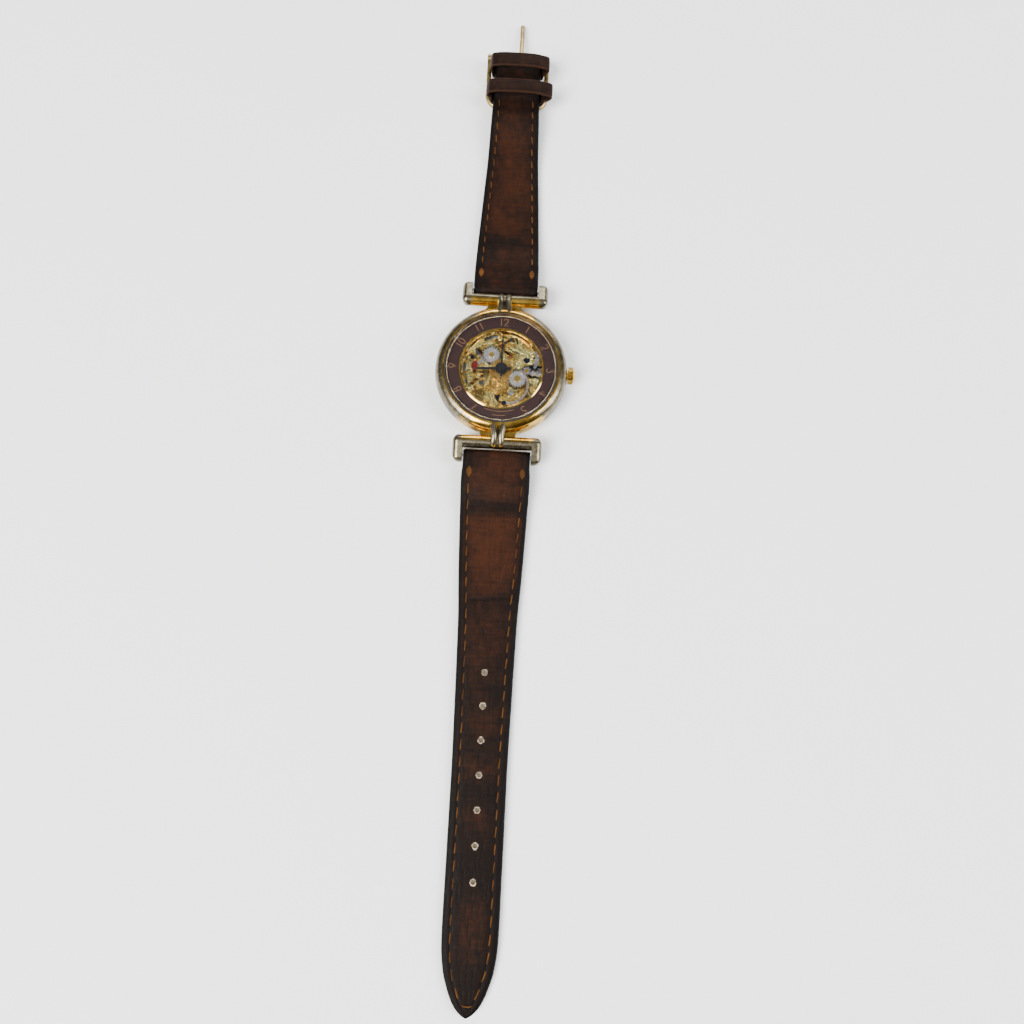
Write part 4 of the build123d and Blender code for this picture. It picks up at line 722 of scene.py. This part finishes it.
def tip_points(strap, start, inset):
    """Stitch line round the pointed end, from one edge to the other."""
    stop = strap.tip[1] - inset * 1.25
    line = []
    for side in (-1, 1):
        half = []
        for y in np.arange(start, stop, 0.15):
            slope = float(strap.width(y + 0.3) - strap.width(y - 0.3)) / 0.6
            back = inset * math.sqrt(1 + slope * slope)
            x = float(strap.width(y)) - back
            if x <= 0.1:
                break
            half.append((side * x, y))
        line.append(half)
    return line[0] + line[1][::-1]


def bar_tacks(strap, y, inset):
    """Short oval bar-tack at each side of the bar end."""
    parts = []
    for side in (-1, 1):
        centre = side * (float(strap.width(y)) - inset)
        for number in range(7):
            across = (number - 3) * 0.15
            length = 2.7 * (1 - (abs(across) / 0.72) ** 1.6)
            rings = []
            for k in range(STITCH_RINGS):
                t = k / (STITCH_RINGS - 1) * 2 - 1
                px = centre + across
                py = y + t * length / 2
                z = strap.surface(centre, py) + 0.16 - 0.25 * t ** 6 - across * across * 0.25
                reach = 0.13 * (1 - 0.6 * abs(t) ** 5)
                rings.append([(px + reach * math.cos(a), strap.side * py, z + reach * math.sin(a))
                              for a in np.linspace(0, 2 * math.pi, 7)[:-1]])
            parts.append(loft(rings))
    return parts


strap_leather = leather("strap_leather", rgb(54, 27, 12), rgb(17, 9, 6), rgb(8, 5, 4),
                        rgb(38, 24, 16), rgb(206, 190, 166))
keeper_leather = leather("keeper_leather", rgb(46, 26, 15), rgb(19, 10, 7), rgb(11, 7, 5),
                         rgb(44, 28, 20), rgb(206, 190, 166))
thread = thread_material()

TAIL_INSET, SHORT_INSET = 1.85, 1.72
NOSE_RADIUS = 1.5
# tables of half width, top, bottom, noses, ends, creases and wear, by distance from the head
tail = Strap(
    -1, TAIL_INSET,
    [(19, 7.85), (22.8, 7.85), (26, 8.05), (36, 7.8), (47.6, 7.35), (59, 6.75), (70, 6.5),
     (81, 6.3), (92, 6.15), (110, 6.12), (122, 6.1), (127, 6.0), (131.8, 5.4), (135.4, 4.3),
     (138.3, 2.95), (139.9, 1.5), (140.5, 0.4), (140.6, 0.02)],
    [(20.95, 4.9), (27, 4.35), (33, 3.05), (43, 2.45), (60, 2.25), (100, 2.12), (140.6, 2.0)],
    [(20.95, 1.9), (25.5, 1.45), (31, 0.42), (37, 0.02), (140.6, 0.02)],
    [(SPRING_BAR_Y, SPRING_BAR_Z, NOSE_RADIUS, -1)], (19.46, 140.58),
    [(31.8, 0.16, 0.03, -6, 6), (34.6, 0.10, -0.08, -5, 2), (54.0, 0.17, -0.05, -4.5, 5.5),
     (62.0, 0.07, 0.10, -3, 5), (74.0, 0.09, 0.02, -4.6, 4.6), (81.2, 0.10, -0.04, -4.5, 4.5),
     (88.4, 0.12, 0.05, -4.5, 4.5), (96.5, 0.12, -0.03, -4.4, 4.4), (104.0, 0.08, 0.06, -4, 4.4),
     (111.0, 0.10, -0.05, -4.4, 3.0), (118.5, 0.09, 0.04, -4.4, 4.4), (126, 0.06, 0.1, -3, 4.0)],
    [(19, 0.35), (24, 0.6), (30, 0.6), (33, 0.2), (36.5, 0.85), (46, 0.8), (51, 0.6),
     (54.5, 0.3), (60, 0.45), (68, 0.3), (74, 0.2), (80, 0.5), (86, 0.25), (91, 0.6),
     (96, 0.15), (101, 0.6), (106, 0.5), (112, 0.3), (118, 0.65), (127, 0.7), (133, 0.4),
     (140.6, 0.15)],
    holes=[HOLE_FIRST + HOLE_PITCH * n for n in range(HOLE_COUNT)])
short = Strap(
    1, SHORT_INSET,
    [(19, 7.85), (24, 7.85), (32, 7.7), (40, 7.35), (48.7, 6.93), (57, 6.48), (66, 6.15),
     (71, 6.0), (88, 5.95)],
    [(20.95, 4.9), (27, 4.35), (33, 3.05), (43, 2.4), (52, 2.3), (60.5, 3.2), (69.5, 5.05),
     (84.3, 5.05), (86, 4.25)],
    [(20.95, 1.9), (25.5, 1.45), (31, 0.42), (37, 0.02), (55, 0.02), (62.5, 1.37),
     (69.5, 2.87), (84.7, 2.87), (86, 1.65)],
    [(SPRING_BAR_Y, SPRING_BAR_Z, NOSE_RADIUS, -1), (BUCKLE_PIN_Y, BUCKLE_PIN_Z, 1.3, 1)],
    (19.46, 87.28),
    [(25.4, 0.07, 0.02, -6, 6), (33.5, 0.12, -0.03, -6, 6), (36.0, 0.10, 0.10, -5, 3),
     (44.0, 0.06, -0.05, -4, 5), (51.0, 0.07, 0.05, -4, 4), (60.0, 0.09, -0.04, -4, 4)],
    [(19, 0.25), (25, 0.35), (31, 0.4), (34, 0.2), (37, 0.45), (44, 0.55), (52, 0.65),
     (60, 0.55), (66, 0.45), (72, 0.2), (87, 0.2)])

strap_6 = new_object("strap_tail", *tail.build(), strap_leather)
cut(strap_6, [rod_cutter((0, -SPRING_BAR_Y, SPRING_BAR_Z), (1, 0, 0), SPRING_BAR_BORE, 20)]
    + [rod_cutter((0, -HOLE_FIRST - HOLE_PITCH * n, 1.0), (0, 0, 1), HOLE_RADIUS, 8)
       for n in range(HOLE_COUNT)])
tail.paint_tone(strap_6)
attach(strap_6, "strap_6")
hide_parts("strap_6")

strap_12 = new_object("strap_short", *short.build(), strap_leather)
cut(strap_12, [rod_cutter((0, SPRING_BAR_Y, SPRING_BAR_Z), (1, 0, 0), SPRING_BAR_BORE, 20),
               rod_cutter((0, BUCKLE_PIN_Y, BUCKLE_PIN_Z), (1, 0, 0), BUCKLE_PIN_BORE, 20),
               box_cutter((-0.25, 84.7, 0.5), (1.55, 89, 6))])
short.paint_tone(strap_12)
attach(strap_12, "strap_12")
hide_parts("strap_12")

TACK_Y, STITCH_START, THREAD_RADIUS = 25.0, 27.2, 0.16
stitch_6 = new_object("strap_tail_stitching", *join_parts(
    [tail.stitches(STITCH_START, 131.0, 3.55, 2.7, THREAD_RADIUS, TAIL_INSET, tip=True)]
    + bar_tacks(tail, TACK_Y, TAIL_INSET)), thread)
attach(stitch_6, "strap_6")
stitch_12 = new_object("strap_short_stitching", *join_parts(
    [short.stitches(STITCH_START, 73.3, 2.9, 2.1, THREAD_RADIUS, SHORT_INSET)]
    + bar_tacks(short, TACK_Y, SHORT_INSET)), thread)
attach(stitch_12, "strap_12")


# ---------------------------------------------------------------- keepers
def keeper(name, start, bottom, left, right, shoulder, top, body, node):
    """Leather loop with a crowned face and rounded, slightly worn edges."""
    thick, width = 0.6, 3.9

    def half(side, bulge):
        flare = max(bulge - 0.9, 6.85)
        return [(side * x, z) for x, z in
                [(3.0, bottom), (5.4, bottom + 0.02), (6.45, bottom + 0.28), (6.7, bottom + 0.9),
                 (6.75, 3.6), (flare, 4.4), (bulge, 5.4), (bulge - 0.35, 6.5),
                 (shoulder + 0.7, top - 0.55), (shoulder - 0.8, top - 0.18), (3.0, top - 0.04)]]

    loop = [(0.0, bottom)] + half(1, right) + [(0.0, top)] + half(-1, left)[::-1]
    loop = np.array(loop)
    count = len(loop)
    path = []
    for i in range(count):
        p0, p1, p2, p3 = (loop[(i + k) % count] for k in (-1, 0, 1, 2))
        for t in np.linspace(0, 1, 6)[:-1]:
            path.append(0.5 * (2 * p1 + (p2 - p0) * t + (2 * p0 - 5 * p1 + 4 * p2 - p3) * t * t
                               + (3 * p1 - p0 - 3 * p2 + p3) * t ** 3))
    path = np.array(path)
    middle = path.mean(axis=0)
    section = []
    for u in np.linspace(0, 1, 25):
        crown = -0.07 * (2 * u - 1) ** 2
        line = -0.06 * (math.exp(-((u - 0.15) / 0.035) ** 2) + math.exp(-((u - 0.85) / 0.035) ** 2))
        edge = -0.16 * (max(0, 1 - u / 0.06) ** 2 + max(0, 1 - (1 - u) / 0.06) ** 2)
        section.append((u * width, crown + line + edge))
    for u in np.linspace(1, 0, 9):
        section.append((u * width, -thick + 0.02 + 0.14 * (2 * abs(u - 0.5)) ** 12))
    rings = []
    for i in range(len(path)):
        ahead = path[(i + 1) % len(path)] - path[i - 1]
        normal = np.array([ahead[1], -ahead[0]]) / np.linalg.norm(ahead)
        if np.dot(normal, path[i] - middle) < 0:
            normal = -normal
        rings.append([(path[i][0] + normal[0] * h, start + w, path[i][1] + normal[1] * h)
                      for w, h in section])
    rings.append(rings[0])
    obj = new_object(name, *loft(rings, caps=False), keeper_leather)
    tone = obj.data.attributes.new("tone", "FLOAT_VECTOR", "POINT")
    obj.data.attributes.new("side", "FLOAT_VECTOR", "POINT")
    values = []
    for vertex in obj.data.vertices:
        y = (vertex.co.y / MM - start) / width
        lined = math.exp(-((y - 0.15) / 0.04) ** 2) + math.exp(-((y - 0.85) / 0.04) ** 2)
        border = 1.0 if y < 0.1 or y > 0.9 else 0.0
        values.extend((0.35 + 0.6 * border, 0.0, 0.5 * lined))
    tone.data.foreach_set("vector", values)
    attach(obj, body)
    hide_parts(node)
    return obj


keeper("keeper_fixed", 80.7, 2.25, 7.1, 8.1, 5.6, 7.5, "strap_12", "fixed_keeper")
keeper("keeper_free", 73.0, 2.2, 7.6, 9.1, 6.0, 7.6, "free_keeper", "free_keeper")


# ---------------------------------------------------------------- numerals and index lines
def arc(cx, cy, rx, ry, start, stop, count=14):
    """Points of part of an ellipse, from start to stop in degrees."""
    return [(cx + rx * math.cos(math.radians(a)), cy + ry * math.sin(math.radians(a)))
            for a in np.linspace(start, stop, count)]


DIGITS = {
    "0": [arc(0.3, 0.5, 0.28, 0.5, 90, 450, 25)],
    "1": [[(0.12, 0.82), (0.3, 1.0), (0.3, 0.0)]],
    "2": [arc(0.3, 0.72, 0.27, 0.28, 170, -35, 14) + [(0.04, 0.0), (0.58, 0.0)]],
    "3": [[(0.06, 1.0), (0.54, 1.0), (0.27, 0.62)] + arc(0.27, 0.31, 0.29, 0.31, 80, -150, 14)],
    "4": [[(0.44, 0.0), (0.44, 1.0), (0.02, 0.3), (0.58, 0.3)]],
    "5": [[(0.52, 1.0), (0.14, 1.0), (0.1, 0.56)] + arc(0.28, 0.32, 0.29, 0.32, 115, -150, 14)],
    "6": [[(0.46, 1.0), (0.2, 0.66)] + arc(0.3, 0.31, 0.28, 0.31, 150, 510, 22)],
    "7": [[(0.04, 1.0), (0.56, 1.0), (0.2, 0.0)]],
    "8": [arc(0.3, 0.76, 0.22, 0.24, -90, 270, 20), arc(0.3, 0.27, 0.28, 0.27, 90, 450, 20)],
    "9": [[(0.14, 0.0), (0.4, 0.34)] + arc(0.3, 0.69, 0.28, 0.31, -30, 330, 22)],
}


def ribbon(points, width, bottom, top):
    """Flat raised line following points."""
    points = np.array(points, float)
    rings = []
    for i, p in enumerate(points):
        ahead = points[min(i + 1, len(points) - 1)] - points[max(i - 1, 0)]
        normal = np.array([-ahead[1], ahead[0]]) / (np.linalg.norm(ahead) or 1) * width / 2
        rings.append([(p[0] - normal[0], p[1] - normal[1], bottom),
                      (p[0] - normal[0] * 0.8, p[1] - normal[1] * 0.8, top),
                      (p[0] + normal[0] * 0.8, p[1] + normal[1] * 0.8, top),
                      (p[0] + normal[0], p[1] + normal[1], bottom)])
    return loft(rings)


marks = []
HEIGHT, CENTRE_RADIUS = 1.75, 11.55
DIGIT_WIDTH, DIGIT_PITCH = 0.62, 0.66
MARK_BOTTOM, MARK_TOP = 5.845, 5.87
for hour in (1, 2, 3, 4, 5, 7, 8, 9, 10, 11, 12):
    text = str(hour)
    wide = DIGIT_WIDTH * HEIGHT * len(text)
    angle = math.radians(90 - 30 * hour)
    for place, digit in enumerate(text):
        for stroke in DIGITS[digit]:
            line = []
            for u, v in stroke:
                x = (place * DIGIT_PITCH + u + 0.01) * HEIGHT - wide / 2
                y = (v - 0.5) * HEIGHT
                r = CENTRE_RADIUS + y
                line.append((r * math.cos(angle) + x * math.sin(angle),
                             r * math.sin(angle) - x * math.cos(angle)))
            marks.append(ribbon(line, 0.15, MARK_BOTTOM, MARK_TOP))
for radius, length in ((10.65, 6.9), (11.65, 3.0)):
    turn_by = length / radius / 2
    marks.append(ribbon([(radius * math.sin(a), -radius * math.cos(a))
                         for a in np.linspace(-turn_by, turn_by, 24)], 0.10,
                        MARK_BOTTOM, MARK_TOP))
numerals = new_object("numerals", *join_parts(marks), print_material())
numerals.data.shade_flat()
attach(numerals, "root")


# ---------------------------------------------------------------- beaded edge inside the bezel
def beads(name, count, radius, z, size, body):
    """Ring of small flattened balls."""
    parts = []
    for n in range(count):
        a0 = 2 * math.pi * n / count
        cx, cy = radius * math.cos(a0), radius * math.sin(a0)
        rings = []
        for phi in np.linspace(-1.45, 1.45, 6):
            r = size * math.cos(phi)
            rings.append([(cx + r * math.cos(a), cy + r * math.sin(a), z + size * math.sin(phi))
                          for a in np.linspace(0, 2 * math.pi, 9)[:-1]])
        parts.append(loft(rings))
    obj = new_object(name, *join_parts(parts), bead_silver)
    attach(obj, body)


beads("rehaut_beads", 144, 12.84, 6.3, 0.2, "root")


# ---------------------------------------------------------------- floor and light
def floor_material():
    m = Nodes("floor")
    tone = m.noise(0.02, 3.0)
    m.set(Base_Color=m.blend(tone, rgb(249, 249, 249), rgb(252, 252, 251)), Roughness=0.9,
          Specular_IOR_Level=0.1)
    return m.material


FLOOR_HALF = 3
floor_mesh = bpy.data.meshes.new("floor")
floor_mesh.from_pydata([(-FLOOR_HALF, -FLOOR_HALF, 0), (FLOOR_HALF, -FLOOR_HALF, 0),
                        (FLOOR_HALF, FLOOR_HALF, 0), (-FLOOR_HALF, FLOOR_HALF, 0)],
                       [], [(0, 1, 2, 3)])
floor_mesh.materials.append(floor_material())
floor = bpy.data.objects.new("floor", floor_mesh)
bpy.context.collection.objects.link(floor)


def softbox(name, place, target, size, power, colour=(1, 1, 1)):
    data = bpy.data.lights.new(name, "AREA")
    data.shape = "RECTANGLE"
    data.size, data.size_y = size
    data.energy = power
    data.color = colour
    light = bpy.data.objects.new(name, data)
    light.location = place
    light.rotation_euler = (Vector(target) - Vector(place)).to_track_quat("-Z", "Y").to_euler()
    bpy.context.collection.objects.link(light)


softbox("key", (-0.50, -0.40, 0.75), (0, -0.02, 0), (0.5, 0.6), 26.0, (1.0, 0.985, 0.96))
softbox("fill", (0.65, -0.1, 0.60), (0, -0.02, 0), (0.3, 0.7), 11.0, (0.96, 0.98, 1.0))
softbox("back", (0.1, 0.85, 0.45), (0, 0, 0), (0.9, 0.16), 6.0)

world = bpy.data.worlds.new("studio")
bpy.context.scene.world = world
world.use_nodes = True
tree = world.node_tree
background = tree.nodes["Background"]
coordinates = tree.nodes.new("ShaderNodeTexCoord")
direction = tree.nodes.new("ShaderNodeSeparateXYZ")
levels = tree.nodes.new("ShaderNodeValToRGB")
tree.links.new(coordinates.outputs["Generated"], direction.inputs[0])
tree.links.new(direction.outputs[2], levels.inputs[0])
levels.color_ramp.elements[0].position = 0.0
levels.color_ramp.elements[0].color = (0.14, 0.14, 0.14, 1)
levels.color_ramp.elements[1].position = 1.0
levels.color_ramp.elements[1].color = (0.50, 0.51, 0.53, 1)
middle = levels.color_ramp.elements.new(0.55)
middle.color = (0.14, 0.14, 0.15, 1)
tree.links.new(levels.outputs[0], background.inputs[0])
background.inputs[1].default_value = 0.8
